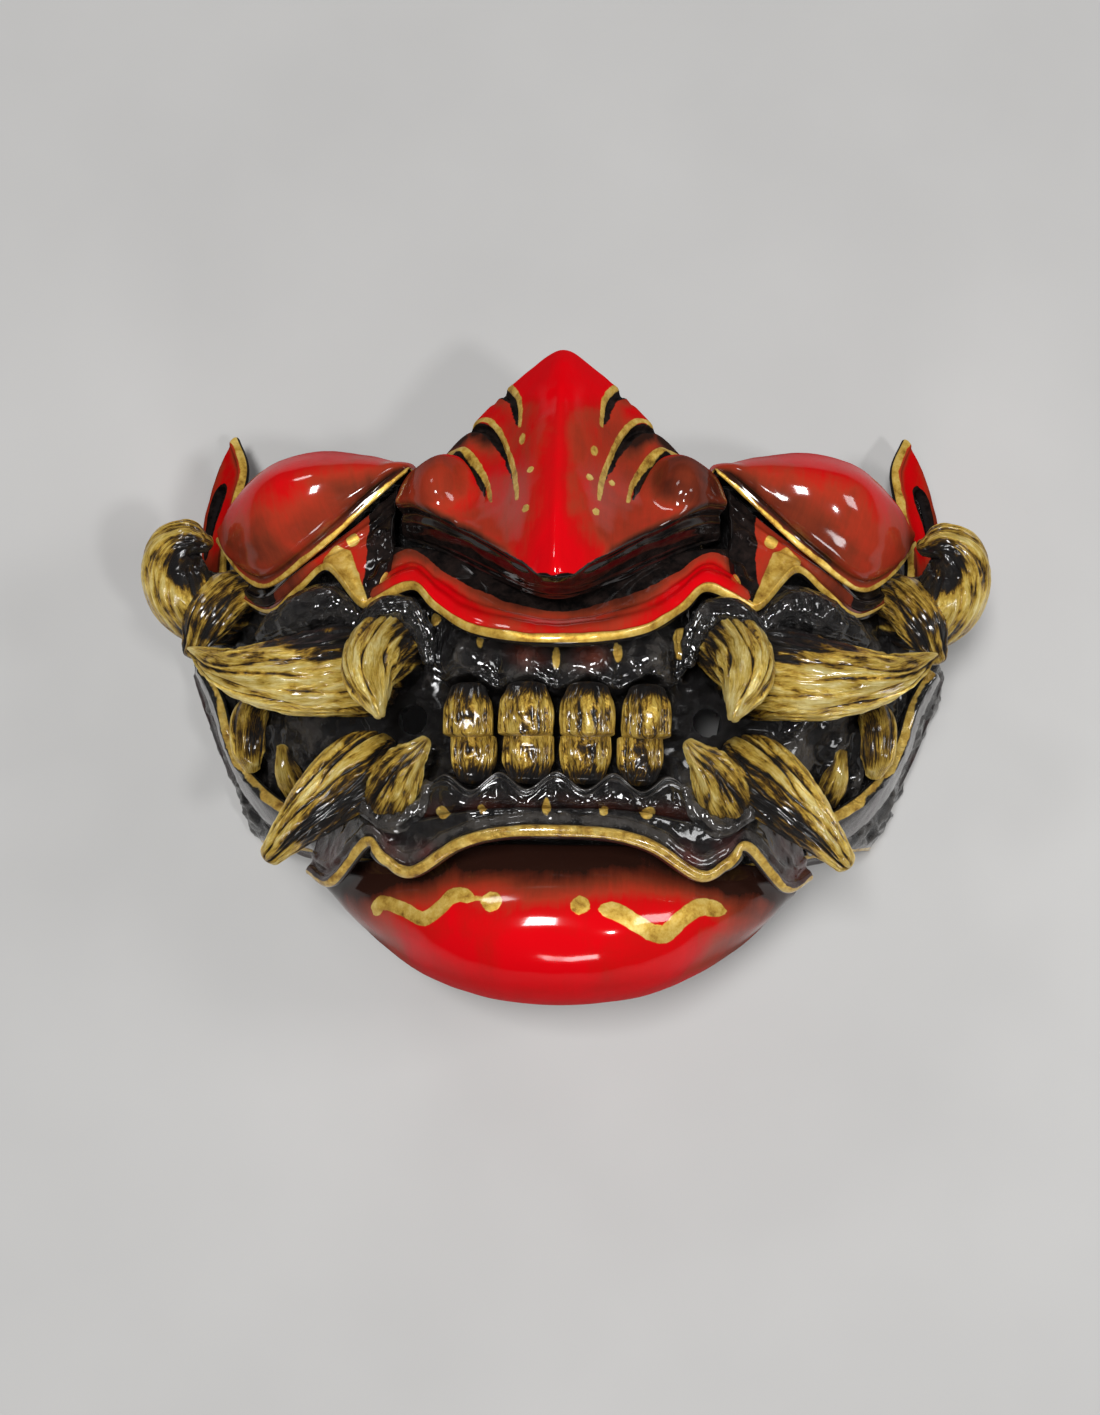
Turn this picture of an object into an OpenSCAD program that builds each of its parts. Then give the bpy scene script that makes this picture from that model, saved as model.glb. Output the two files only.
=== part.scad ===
// Oni half mask: a horned and tusked face mask that covers the nose, cheeks and jaw.
// It lies on the back rim of its shell: +Z is the way the face looks, +Y is towards the brow,
// and the origin is on the surface it rests on, under the middle of the mask. Millimetres.

/* [Shell] */
// Half width of the shell's back rim at its widest
rim_half_w = 103; // [100:1:106]
// Height of the shell's front above the back rim
shell_front_z = 67; // [65:1:68]
// Wall thickness of the shell and of the chin
shell_wall = 3; // [2:0.5:4]

/* [Plates] */
// Thickness of the cheek, lip and jaw plates
plate_wall = 2.6; // [2:0.2:3]
// Thickness of the nose shell
nose_wall = 3; // [2:0.5:4]
// Radius of the breathing hole at each corner of the mouth
breath_r = 3.6; // [3:0.2:4.2]

/* [Teeth] */
// Width of a middle upper incisor
incisor_w = 12.8; // [11.6:0.2:13.2]
// Length of the upper incisors below the gum
incisor_len = 12; // [10:0.5:12.5]
// Length of the lower incisors above the gum
lower_incisor_len = 9.5; // [8:0.5:10]
// Front to back thickness of an incisor
incisor_t = 8; // [6:0.5:9]

/* [Tusks and horns] */
// Radius of the large upper tusk at its root
upper_tusk_r = 11.5; // [10:0.5:12.5]
// Radius of the lower tusk at its root
lower_tusk_r = 9; // [8:0.5:10]
// Radius of the side horn at its root
side_horn_r = 10; // [9:0.5:11]

/* [Strap slots] */
// Length of the slot that the head strap passes through
slot_len = 20; // [16:1:22]
// Width of that slot
slot_w = 6; // [5:0.5:7]

/* [Quality] */
// Sides of a tusk, horn or fang
tusk_sides = 14; // [10:2:18]
// Rings along a tusk, horn or fang
tusk_rings = 12; // [8:1:16]

/* [Hidden] */
red = [0.62, 0.05, 0.04];
black = [0.07, 0.06, 0.06];
gold = [0.68, 0.52, 0.18];
SIDES = ["left", "right"];
// Depth of the gums behind their front, down to the shell
gum_depth = 8;

// ---------- curves and surfaces ----------

// Catmull-Rom blend between b and c
function blend(a, b, c, d, u) =
    b + 0.5 * u * ((c - a) + u * ((2 * a - 5 * b + 4 * c - d) + u * (3 * (b - c) + d - a)));
// Value of an open Catmull-Rom curve through the list p, at w from 0 to 1
function curve(p, w) =
    let (n = len(p) - 1, q = max(0, min(floor(w * n), n - 1)), u = w * n - q,
         a = q > 0 ? p[q - 1] : 2 * p[0] - p[1],
         d = q < n - 1 ? p[q + 2] : 2 * p[n] - p[n - 1])
    blend(a, p[q], p[q + 1], d, u);
// Point of the surface through a net of rows, s along a row and t from row to row
function surface_at(net, s, t) = curve([for (row = net) curve(row, s)], t);
function unit(v) = v / max(norm(v), 1e-9);
function lerp(a, b, u) = a + (b - a) * u;
// Outward normal of a net, by differences
function normal_at(net, s, t) =
    let (e = 0.01,
         ds = surface_at(net, min(s + e, 1), t) - surface_at(net, max(s - e, 0), t),
         dt = surface_at(net, s, min(t + e, 1)) - surface_at(net, s, max(t - e, 0)))
    unit(cross(dt, ds));
// A row that runs from the mirrored half to the given half, whose first point is on the middle plane
function both_sides(row) =
    concat([for (i = [len(row) - 1:-1:1]) [-row[i][0], row[i][1], row[i][2]]], row);

// Triangles of a closed slab whose front and back are grids of (ns + 1) by (nt + 1) points
function slab_faces(ns, nt) =
    let (w = ns + 1, half = w * (nt + 1))
    concat(
        [for (j = [0:nt - 1], i = [0:ns - 1], k = [0, 1])
            let (p = j * w + i) k == 0 ? [p, p + 1, p + w + 1] : [p, p + w + 1, p + w]],
        [for (j = [0:nt - 1], i = [0:ns - 1], k = [0, 1])
            let (p = half + j * w + i) k == 0 ? [p, p + w + 1, p + 1] : [p, p + w, p + w + 1]],
        [for (i = [0:ns - 1], k = [0, 1])
            k == 0 ? [i, half + i, half + i + 1] : [i, half + i + 1, i + 1]],
        [for (i = [0:ns - 1], k = [0, 1]) let (p = nt * w + i)
            k == 0 ? [p, half + p + 1, half + p] : [p, p + 1, half + p + 1]],
        [for (j = [0:nt - 1], k = [0, 1]) let (p = j * w)
            k == 0 ? [p, half + p + w, half + p] : [p, p + w, half + p + w]],
        [for (j = [0:nt - 1], k = [0, 1]) let (p = j * w + ns)
            k == 0 ? [p, half + p, half + p + w] : [p, half + p + w, p + w]]);

// A curved plate of even thickness whose front passes through a net of points
module plate(net, thickness, ns, nt) {
    front = [for (j = [0:nt], i = [0:ns]) surface_at(net, i / ns, j / nt)];
    back = [for (j = [0:nt], i = [0:ns])
        surface_at(net, i / ns, j / nt) - thickness * normal_at(net, i / ns, j / nt)];
    polyhedron(points = concat(front, back), faces = slab_faces(ns, nt), convexity = 6);
}

// A bar of rounded section along a curve. sizes holds [half width, half depth] at each point of the path.
// Its width lies across the path, square to up.
// A squareness of 2 gives an ellipse, and more a boxier section.
module bar(path, sizes, up = [0, 0, 1], squareness = 2, sides = tusk_sides, rings = tusk_rings) {
    power = 2 / squareness;
    centres = [for (j = [0:rings]) curve(path, j / rings)];
    points = [for (j = [0:rings], i = [0:sides - 1])
        let (w = j / rings, e = 0.02,
             along = unit(curve(path, min(w + e, 1)) - curve(path, max(w - e, 0))),
             across = unit(cross(along, up)), over = cross(across, along),
             size = curve(sizes, w), a = 360 * i / sides,
             ca = sign(cos(a)) * pow(abs(cos(a)), power), sa = sign(sin(a)) * pow(abs(sin(a)), power))
        centres[j] + max(size[0], 0.4) * ca * across + max(size[1], 0.4) * sa * over];
    last = rings * sides;
    polyhedron(
        points = concat(points, [centres[0], centres[rings]]),
        faces = concat(
            [for (j = [0:rings - 1], i = [0:sides - 1], k = [0, 1])
                let (p = j * sides + i, q = j * sides + (i + 1) % sides)
                k == 0 ? [p, q + sides, p + sides] : [p, q, q + sides]],
            [for (i = [0:sides - 1]) [len(points), (i + 1) % sides, i]],
            [for (i = [0:sides - 1]) [len(points) + 1, last + i, last + (i + 1) % sides]]),
        convexity = 6);
}

// Children are drawn for the right side, and mirrored for the left
module on_side(side) {
    if (side == "left") mirror([1, 0, 0]) children();
    else children();
}

// ---------- face shell ----------

// Stations along the shell, from under the mouth to the bridge of the nose:
// [y at the middle, y at the rim, half width of the rim, height of the front]
shell_stations = [
    [-50, -38, rim_half_w - 20, shell_front_z - 7],
    [-36, -27, rim_half_w - 14, shell_front_z - 3],
    [-20, -14, rim_half_w - 9, shell_front_z - 1],
    [-4, 2, rim_half_w - 2, shell_front_z],
    [14, 14, rim_half_w - 1, shell_front_z - 1],
    [32, 25, rim_half_w - 6, shell_front_z - 3],
    [46, 34, rim_half_w - 9, shell_front_z - 7],
    [56, 40, rim_half_w - 11, shell_front_z - 11]
];
shell_roundness = 1.8;
shell_arc_steps = 32;
shell_long_steps = 10;

// Point of the arched shell, moved in by depth: a is the angle from the middle, t the way from jaw to brow
function shell_at(a, t, depth) =
    let (c = curve(shell_stations, t), p = 2 / shell_roundness,
         across = pow(abs(sin(a)), p) * sign(a), up = a == 90 || a == -90 ? 0 : pow(cos(a), p))
    [(c[2] - depth) * across, lerp(c[0], c[1], pow(abs(sin(a)), 1.6)), (c[3] - depth) * up];

module face_shell() {
    steps = [shell_arc_steps, shell_long_steps];
    grid = function (depth) [for (j = [0:steps[1]], i = [0:steps[0]])
        shell_at(-90 + 180 * i / steps[0], 1 - j / steps[1], depth)];
    color(black) difference() {
        polyhedron(points = concat(grid(0), grid(shell_wall)), faces = slab_faces(steps[0], steps[1]),
            convexity = 8);
        nose_opening();
        for (x = [-1, 1]) breath_hole(x);
    }
}
// Opening behind the nose, so that the wearer's nose fits
module nose_opening() {
    half = [[0, 50], [13, 46], [21, 38], [22, 28], [12, 19], [0, 18]];
    translate([0, 0, 30]) linear_extrude(60)
        polygon(concat(half, [for (i = [len(half) - 2:-1:1]) [-half[i][0], half[i][1]]]));
}
// Hole at the corner of the mouth, between the fangs
module breath_hole(x) {
    translate([x * 35.5, -11.3, 30]) cylinder(r = breath_r, h = 60, $fn = 48);
}

// ---------- red shells and plates ----------

// Rows run from the top rim down the bridge, round the tip and back under it.
// The first point of each row is on the ridge
nose_half = [
    [[0, 76.8, 70], [8, 72.4, 68.5], [15.5, 66.8, 65.5], [21.5, 61.3, 62.8], [26.5, 56.5, 60], [31, 52, 57]],
    [[0, 70, 77], [6, 67, 75.5], [13, 61.8, 71.5], [19.5, 57, 68.3], [26.5, 52.6, 65], [33, 49.5, 61]],
    [[0, 58, 85], [6, 56, 83], [13, 52.5, 76.5], [20, 50.5, 71.5], [28, 50.5, 70.5], [35.5, 48.5, 63.5]],
    [[0, 45, 92], [6, 44, 89.5], [13, 43, 81.5], [20.5, 44, 76], [29, 45.5, 79], [37.5, 44, 68]],
    [[0, 32, 98.5], [6, 32.5, 95.5], [13.5, 34, 87], [21, 37, 80.5], [30, 39.5, 82], [39, 39, 70]],
    [[0, 17, 103.2], [6, 18.3, 99], [14, 23.8, 91], [22, 29, 84.5], [30, 33, 81], [38.5, 35.5, 70.5]],
    [[0, 13.5, 101.5], [6, 15, 97], [14, 20.5, 87.5], [22, 25.8, 81], [30, 30, 76.5], [38.5, 33, 67.5]],
    [[0, 12.4, 92], [6, 14.2, 88], [14.5, 19.2, 81.5], [22, 24, 76.5], [30, 28.6, 71.5], [38.5, 32, 65.5]],
    [[0, 13, 83.5], [6, 14.6, 81.5], [15, 18.8, 77.5], [22, 23, 73.5], [30, 27.6, 69], [38, 31.2, 64.5]]
];
module nose() {
    color(red) plate([for (row = nose_half) both_sides(row)], nose_wall, 30, 16);
}

// Rows run from under the jaw plate over the chin and back to its rim
chin_half = [
    [[0, -41, 66.5], [15, -41, 65.5], [29, -42.5, 61.5], [41, -44, 55], [51, -45, 46], [58.5, -46, 35]],
    [[0, -51, 76.5], [15.5, -51.5, 75], [30, -52, 69.5], [42, -52.5, 61], [51.5, -52, 51], [58.5, -50, 39]],
    [[0, -62, 79], [15, -62, 77.5], [29, -61, 71], [40, -60, 61.5], [49.5, -57.5, 50], [56, -53, 38]],
    [[0, -72, 72.5], [14, -71.5, 71], [27, -69.5, 64.5], [37.5, -66, 55], [46, -62, 44], [53, -56.5, 32]],
    [[0, -78, 57], [13, -77.2, 55.5], [25, -74.5, 50], [35.5, -70, 43], [44, -64.5, 34.5], [51, -58.5, 25]],
    [[0, -77, 40], [13, -76, 38.5], [24.5, -73, 34.5],
        [34.5, -68.5, 29.5], [42.5, -63, 24], [49.5, -57.5, 18]],
    [[0, -72.5, 27], [12, -71.5, 26], [23.5, -69, 23.5], [33, -65, 20], [41, -60, 16.5], [48, -55, 13]]
];
module chin() {
    color(red) plate([for (row = chin_half) both_sides(row)], shell_wall, 24, 12);
}

// Rows run from under the nose to the flared edge over the teeth
upper_lip_half = [
    [[0, 16, 78.5], [10, 19, 77.5], [20, 23.5, 75], [29, 27.5, 71.5], [36, 29, 68.5], [42, 30, 64]],
    [[0, 9.5, 82], [10, 12, 81], [20, 16.5, 78.5], [28, 21, 75], [34.5, 24, 71.5], [43, 22, 67]],
    [[0, 5.5, 87], [10, 7, 86], [20, 10, 83], [27.5, 15, 79], [34, 20, 75.5], [44, 17, 70.5]],
    [[0, 3.6, 90.5], [10, 4, 89.5], [20, 6.5, 86], [27.5, 11.8, 81.5], [34, 17.5, 77.5], [45.3, 13.5, 73]]
];
module upper_lip_plate() {
    color(red) plate([for (row = upper_lip_half) both_sides(row)], plate_wall, 28, 6);
}

// Rows run from the hidden upper edge over the dome to the gold lower edge, from the nose outwards
cheek_net = [
    [[34, 50, 53], [47, 53, 45], [60, 55, 39], [72, 53.5, 33], [81, 48.5, 27], [87.5, 41, 23]],
    [[35, 50, 60], [47, 53.5, 59], [60, 55.5, 57], [72, 54, 51], [81, 48.5, 42], [88, 40.5, 32]],
    [[36, 49.5, 66], [47, 49, 69], [60, 47.5, 71], [72, 45.5, 67.5], [82, 42, 56], [88.5, 39, 39]],
    [[36.5, 48.5, 67], [47, 43, 70], [60, 37, 71], [72, 32, 67], [82, 32.5, 56], [88.5, 37.5, 42]],
    [[37, 47.5, 66.5], [47, 38, 66.5], [59, 28, 63], [72, 21.2, 56], [81, 27, 48], [88, 36, 42]]
];
module cheek_plate() {
    color(red) plate(cheek_net, plate_wall, 18, 12);
}

// Rows run from under the cheek plate to the lobed lower edge, from the nose outwards
under_cheek_net = [
    [[40, 45, 62], [46, 39, 62.5], [54, 33, 61], [64, 27, 57], [73, 23, 51], [82, 28, 43]],
    [[40.5, 37, 64.5], [46, 31, 65.5], [55, 28.5, 63.5], [64, 24.5, 59.5], [73, 19.5, 53], [82.5, 25.5, 44]],
    [[40, 29, 67.5], [45.8, 22.5, 68.5], [55.5, 25.8, 66], [63, 22, 61.5], [72, 17, 55], [83, 23.5, 45]],
    [[41, 22, 70.5], [45.8, 14, 72.5], [55.5, 24.3, 67.5],
        [63, 20.3, 62.5], [71, 15.8, 56.5], [83, 22.5, 45.5]]
];
module under_cheek_plate() {
    color(red) plate(under_cheek_net, 2, 22, 5);
}

// Rows run from the molars out to the rim of the shell
jaw_side_net = [
    [[60, -38, 50], [67, -33.5, 46.5], [75, -28, 42], [82, -21, 36],
        [87, -12, 31], [90, -3, 29.5], [95.5, 6.5, 27]],
    [[61.5, -42, 40], [69.5, -38.5, 34], [78, -32.5, 28],
        [85, -24.5, 22], [90.3, -13, 21], [93.5, -4, 20], [99, 7, 18.5]],
    [[62, -43.5, 25], [69, -41.5, 20], [77.5, -36, 14], [86, -26.5, 10],
        [92.5, -14, 10], [96.5, -4.5, 9.5], [101, 7.5, 9]]
];
module jaw_side_plate() {
    color(black) plate(jaw_side_net, 2.4, 18, 6);
}

// Rows run from the gold front edge back to the strap edge, from the cheek up to the temple
temple_wing_net = [
    [[89, 27, 33], [90, 34, 31], [89.5, 42, 27.5], [88.8, 53, 22.5], [88.5, 63, 18.5], [92.5, 72.5, 14]],
    [[93, 27, 24], [94, 34, 21.5], [94, 42, 19], [93, 53, 15.5], [93, 62.5, 12.5], [94, 70.5, 11.5]],
    [[97, 27, 14], [98, 34, 12], [98.5, 42, 10.5], [98.5, 52, 8.5], [97.5, 61, 7], [95.5, 68.5, 9]],
    [[100.5, 27, 4], [101.5, 34, 3], [102, 42, 2.5], [102, 51, 2], [100.5, 58.5, 2.5], [97, 66, 6.5]]
];
module strap_slot() {
    translate([97.5, 49.5, 10]) rotate([0, 90, 0]) linear_extrude(30, center = true) {
        square([slot_w, slot_len - slot_w], center = true);
        for (y = [-1, 1]) translate([0, y * (slot_len - slot_w) / 2]) circle(d = slot_w, $fn = 32);
    }
}
module temple_wing() {
    color(red) difference() {
        plate(temple_wing_net, plate_wall, 14, 6);
        strap_slot();
    }
}

// ---------- gums and lower lip ----------

// Rows run from behind the lip down to the arches over the teeth
upper_gum_half = [
    [[0, 16, 73], [6.8, 16.5, 72.6], [13.4, 17.2, 71.8], [20, 18.2, 70.5], [26, 19, 68.5], [31, 20, 66.5]],
    [[0, 8, 78], [6.8, 8.5, 77.6], [13.4, 9.2, 76.8], [20, 10.5, 75], [26, 11.8, 73], [31, 13, 71]],
    [[0, 0, 80], [6.8, 0.3, 80.6], [13.4, 0.6, 79.3], [20, 1.3, 78.8], [26, 3, 75.5], [30.5, 5, 73]],
    [[0, -7.4, 79.5], [6.8, -4.6, 80], [13.4, -7.2, 78.6], [20, -4, 77.6], [25.8, -5.6, 75], [29.5, -1, 73]]
];
module upper_gum() {
    color(black) plate([for (row = upper_gum_half) both_sides(row)], gum_depth, 30, 6);
}
lower_gum_half = [
    [[0, -24.6, 79.5], [6.4, -28.2, 80], [12.6, -24.8, 79],
        [18.8, -28.4, 78.4], [24.6, -25.2, 76.6], [29, -27.5, 75]],
    [[0, -30, 80.5], [6.4, -31.2, 80.4], [12.6, -30.2, 80],
        [18.8, -31.4, 79], [24.6, -31, 77.4], [30, -31.5, 75]],
    [[0, -34.5, 79.5], [6.4, -34.5, 79.3], [12.6, -34.5, 79],
        [18.8, -34.8, 78.2], [24.6, -35.4, 76.5], [30.5, -36, 74]]
];
module lower_gum() {
    color(black) plate([for (row = lower_gum_half) both_sides(row)], gum_depth, 30, 4);
}

// Rows run from the gum and the tusk roots to the flared, lobed edge over the chin
lower_lip_half = [
    [[0, -33.5, 79.5], [12, -33.5, 79], [22, -34.5, 77.5], [31, -36, 74],
        [38, -37, 70.5], [44, -34, 66], [52, -36, 58], [58, -38, 51]],
    [[0, -36, 80.5], [12, -36.5, 80], [22, -38, 78], [31.5, -42, 74.5],
        [38, -41, 72], [43.5, -37.5, 69], [52.5, -43, 60], [59, -43, 52.5]],
    [[0, -39.2, 84], [12, -39.6, 83.5], [22, -42.5, 81.5], [32.5, -48.7, 77.5],
        [38, -46, 75.5], [43.5, -41.5, 73], [53.5, -50.6, 62], [60.5, -47.5, 54]]
];
module lower_lip_plate() {
    color(black) plate([for (row = lower_lip_half) both_sides(row)], plate_wall, 40, 5);
}

// ---------- teeth ----------

// Teeth are numbered from -X to +X: 1 and 4 are the outer ones, 2 and 3 the middle ones
function is_outer(i) = i == 1 || i == 4;
function tooth_x(i, w) = (i < 3 ? -1 : 1) * (is_outer(i) ? 1.58 : 0.54) * w;

module incisor(i, y_root, y_tip, w, front_z) {
    x = tooth_x(i, w);
    half_w = (is_outer(i) ? 0.9 : 1) * w / 2;
    z = (is_outer(i) ? front_z - 2.5 : front_z) - incisor_t / 2;
    bar([[x, y_root, z - 0.5], [x, (y_root + y_tip) / 2, z], [x, y_tip, z]],
        [[half_w * 0.92, incisor_t * 0.42], [half_w, incisor_t / 2], [half_w * 0.92, incisor_t * 0.36]],
        squareness = 3.6, sides = 20, rings = 5);
}
module upper_incisor_body(i) { incisor(i, -5, -5.5 - incisor_len, incisor_w, 83); }
module lower_incisor_body(i) { incisor(i, -27.6, -26 + lower_incisor_len, incisor_w - 0.8, 80.5); }
module upper_incisor(i) { color(gold) upper_incisor_body(i); }
module lower_incisor(i) { color(gold) lower_incisor_body(i); }

// Each fang, tusk and horn starts on the shell, square to it, and curves out from there
module upper_fang() {
    color(gold) bar([[36, 8, 62], [39.5, 4.5, 73], [42.5, -4, 82], [39, -14, 87.5]],
        [[6.5, 6.5], [8, 7.2], [6.4, 6], [1.6, 1.6]]);
}
module lower_fang() {
    color(gold) bar([[38, -33, 58], [38.5, -30.5, 68.5], [35, -24, 75], [29.5, -18.5, 79]],
        [[6.5, 6], [7, 6.5], [5.2, 5.2], [1.4, 1.4]]);
}
module molar(path, sizes) {
    color(gold) bar(path, sizes, squareness = 2.3, sides = 14, rings = 8);
}
module rear_molar() {
    molar([[77, -3.5, 35], [78.3, -10, 42], [77.8, -17, 43.5], [77.3, -22, 41]],
        [[3.6, 3.6], [4.5, 4.2], [4.1, 3.7], [1.7, 1.7]]);
}
module front_molar() {
    molar([[65.5, -27.5, 41], [67, -22.5, 48], [68.3, -16.5, 49.5]], [[3, 3], [2.9, 2.7], [0.9, 0.9]]);
}

// ---------- tusks and horns ----------

module upper_tusk() {
    r = upper_tusk_r;
    color(gold) bar([[45.5, 1, 56], [50.5, 0, 64], [62, -2.5, 69.5], [76, -1.8, 70], [88, 4, 65.5]],
        [[r, r * 0.92], [r, r], [r * 0.82, r * 0.82], [r * 0.5, r * 0.5], [r * 0.1, r * 0.1]]);
}
module lower_tusk() {
    r = lower_tusk_r;
    color(gold) bar([[44.5, -22, 54], [46.5, -24, 65], [55, -33, 71.5], [65.5, -44.8, 72]],
        [[r * 0.9, r * 0.9], [r, r * 0.98], [r * 0.8, r * 0.8], [r * 0.33, r * 0.33]]);
}
module side_horn() {
    r = side_horn_r;
    color(gold) bar([[86, 22, 28], [92, 20, 37], [95.9, 22.8, 45.5],
        [96.6, 30, 52], [92.3, 33.9, 55.5], [87.5, 33, 55]],
        [[r * 0.9, r * 0.9], [r, r * 0.95], [r * 0.9, r * 0.88],
            [r * 0.75, r * 0.72], [r * 0.52, r * 0.52], [r * 0.22, r * 0.22]],
        up = [0.3, -1, 0]);
}
// Short spur that lies between the side horn and the large tusk
module horn_spur() {
    color(gold) bar([[79.5, 25.5, 37], [84, 21.5, 45.5], [88.3, 14.5, 49], [92, 6, 47.5]],
        [[5, 4.5], [6.2, 5.2], [6, 5], [2.6, 2.2]]);
}

// Fold of gum over the root of the large tusk
module upper_tusk_collar() {
    color(black) bar([[73, 8.5, 56], [64, 13, 62.5], [54, 15.5, 66], [46.5, 11, 68.5]],
        [[2, 1.8], [4.4, 3.6], [5.2, 4.2], [3, 2.6]], sides = 12, rings = 10);
}
// Hood of gum over the root of the upper fang
module upper_fang_collar() {
    color(black) bar([[47, 0, 70], [45.6, 7.6, 72.5], [40, 12, 75],
        [34.5, 11.8, 75.5], [30.6, 6.5, 76], [29.2, -0.5, 75]],
        [[1.3, 1.3], [2.6, 2.4], [3.3, 3], [3.3, 3], [2.5, 2.4], [1.2, 1.2]], sides = 12, rings = 12);
}
// Ring of gum round the root of the lower fang
module lower_fang_collar() {
    color(black) bar([[28.5, -27, 73.5], [31.5, -34, 73.5], [37, -37.5, 73], [43.5, -34, 71], [45, -27, 68]],
        [[0.8, 0.8], [1.8, 1.8], [2, 2], [1.8, 1.8], [0.8, 0.8]], sides = 10, rings = 14);
}

// ---------- nodes ----------

face_shell();
nose();
chin();
upper_lip_plate();
upper_gum();
lower_gum();
lower_lip_plate();
for (side = SIDES) {
    on_side(side) cheek_plate();
    on_side(side) under_cheek_plate();
    on_side(side) jaw_side_plate();
    on_side(side) temple_wing();
    on_side(side) upper_fang();
    on_side(side) lower_fang();
    on_side(side) upper_tusk();
    on_side(side) lower_tusk();
    on_side(side) upper_tusk_collar();
    on_side(side) upper_fang_collar();
    on_side(side) lower_fang_collar();
    on_side(side) side_horn();
    on_side(side) horn_spur();
    on_side(side) rear_molar();
    on_side(side) front_molar();
}
for (i = [1:4]) {
    upper_incisor(i);
    lower_incisor(i);
}
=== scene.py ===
import math
import random

import bpy
import numpy as np
from mathutils import Matrix, Vector


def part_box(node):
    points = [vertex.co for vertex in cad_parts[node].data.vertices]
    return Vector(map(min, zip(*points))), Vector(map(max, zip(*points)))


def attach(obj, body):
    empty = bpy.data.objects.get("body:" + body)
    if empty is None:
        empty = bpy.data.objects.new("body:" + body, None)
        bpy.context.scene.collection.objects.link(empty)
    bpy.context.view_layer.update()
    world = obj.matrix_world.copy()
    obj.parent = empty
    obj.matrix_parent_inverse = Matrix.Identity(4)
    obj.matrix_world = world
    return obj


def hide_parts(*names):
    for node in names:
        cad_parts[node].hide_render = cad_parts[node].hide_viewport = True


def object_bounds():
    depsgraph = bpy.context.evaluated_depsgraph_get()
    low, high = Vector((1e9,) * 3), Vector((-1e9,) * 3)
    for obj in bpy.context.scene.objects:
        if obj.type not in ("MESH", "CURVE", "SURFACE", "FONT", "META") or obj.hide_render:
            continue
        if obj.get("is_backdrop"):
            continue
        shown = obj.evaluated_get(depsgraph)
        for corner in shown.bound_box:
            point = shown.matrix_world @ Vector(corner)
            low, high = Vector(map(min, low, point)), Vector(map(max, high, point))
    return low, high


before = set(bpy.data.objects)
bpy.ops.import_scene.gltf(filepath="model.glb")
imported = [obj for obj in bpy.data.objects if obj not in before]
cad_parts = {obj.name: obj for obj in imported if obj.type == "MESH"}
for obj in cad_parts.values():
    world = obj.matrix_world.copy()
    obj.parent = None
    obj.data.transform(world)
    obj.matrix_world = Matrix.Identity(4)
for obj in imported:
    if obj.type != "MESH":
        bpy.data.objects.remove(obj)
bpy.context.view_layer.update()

# Visual model of an oni half mask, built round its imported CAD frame. Shapes are drawn in millimetres,
# and each piece is then seated on the box of its CAD node, which is in metres.

# ---------- numbers: curves, surfaces and noise ----------


def spline(points, w):
    """Catmull-Rom value of points at each w, from 0 to 1. A point may be a number, a vector or a row."""
    p = np.asarray(points, float)
    p = np.concatenate([[2 * p[0] - p[1]], p, [2 * p[-1] - p[-2]]])
    count = len(p) - 3
    place = np.clip(np.asarray(w, float), 0, 1) * count
    q = np.minimum(place.astype(int), count - 1)
    u = (place - q).reshape(-1, *[1] * (p.ndim - 1))
    a, b, c, d = p[q], p[q + 1], p[q + 2], p[q + 3]
    return b + 0.5 * u * (c - a + u * (2 * a - 5 * b + 4 * c - d + u * (3 * (b - c) + d - a)))


def unit(v):
    return v / np.maximum(np.linalg.norm(v, axis=-1, keepdims=True), 1e-9)


def smooth(low, high, value):
    """0 below low, 1 above high, and a smooth step between; low may be above high."""
    u = np.clip((value - low) / (high - low), 0, 1)
    return u * u * (3 - 2 * u)


def hump(value, centre, width):
    """A bell of height 1 round centre."""
    return np.exp(-(((value - centre) / width) ** 2))


def noise(points, size, seed=0):
    """Smooth noise from -1 to 1 at points, with features of about size."""
    p = np.asarray(points, float) / size + 211.7 + 31.1 * seed
    cell = np.floor(p).astype(np.int64)
    f = p - cell
    f = f * f * (3 - 2 * f)
    total = 0
    for corner in np.ndindex(2, 2, 2):
        at = cell + np.array(corner)
        n = at[..., 0] * 73856093 ^ at[..., 1] * 19349663 ^ at[..., 2] * 83492791
        n = (n ^ (n >> 13)) * 1274126177 & 0xFFFFFFFF
        n = (n ^ (n >> 16)) * 2246822519 & 0xFFFFFFFF
        weight = np.prod(np.where(np.array(corner) == 1, f, 1 - f), axis=-1)
        total = total + ((n >> 8 & 0xFFFF) / 32767.5 - 1) * weight
    return total


def to_path(points, path, samples=160):
    """Distance in the XY plane to a smooth path, and how far along it the nearest place is, 0 to 1."""
    line = spline(path, np.linspace(0, 1, samples))[:, :2]
    flat = points[..., :2].reshape(-1, 2)
    square = (flat**2).sum(1)[:, None] + (line**2).sum(1)[None] - 2 * flat @ line.T
    nearest = square.argmin(1)
    gap = np.sqrt(np.maximum(square.min(1), 0))
    return gap.reshape(points.shape[:-1]), (nearest / (samples - 1)).reshape(points.shape[:-1])


def stroke(points, path, half_width, taper=0.15):
    """Signed distance to a brush stroke along a path, negative inside; it narrows over taper at the ends."""
    gap, along = to_path(points, path)
    narrow = np.clip(np.minimum(along, 1 - along) / taper, 0, 1) ** 0.5
    return gap - half_width * (0.35 + 0.65 * narrow)


def spot(points, x, y, rx, ry):
    """Signed distance, about, to an oval spot."""
    reach = np.hypot((points[..., 0] - x) / rx, (points[..., 1] - y) / ry)
    return (reach - 1) * min(rx, ry)


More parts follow.
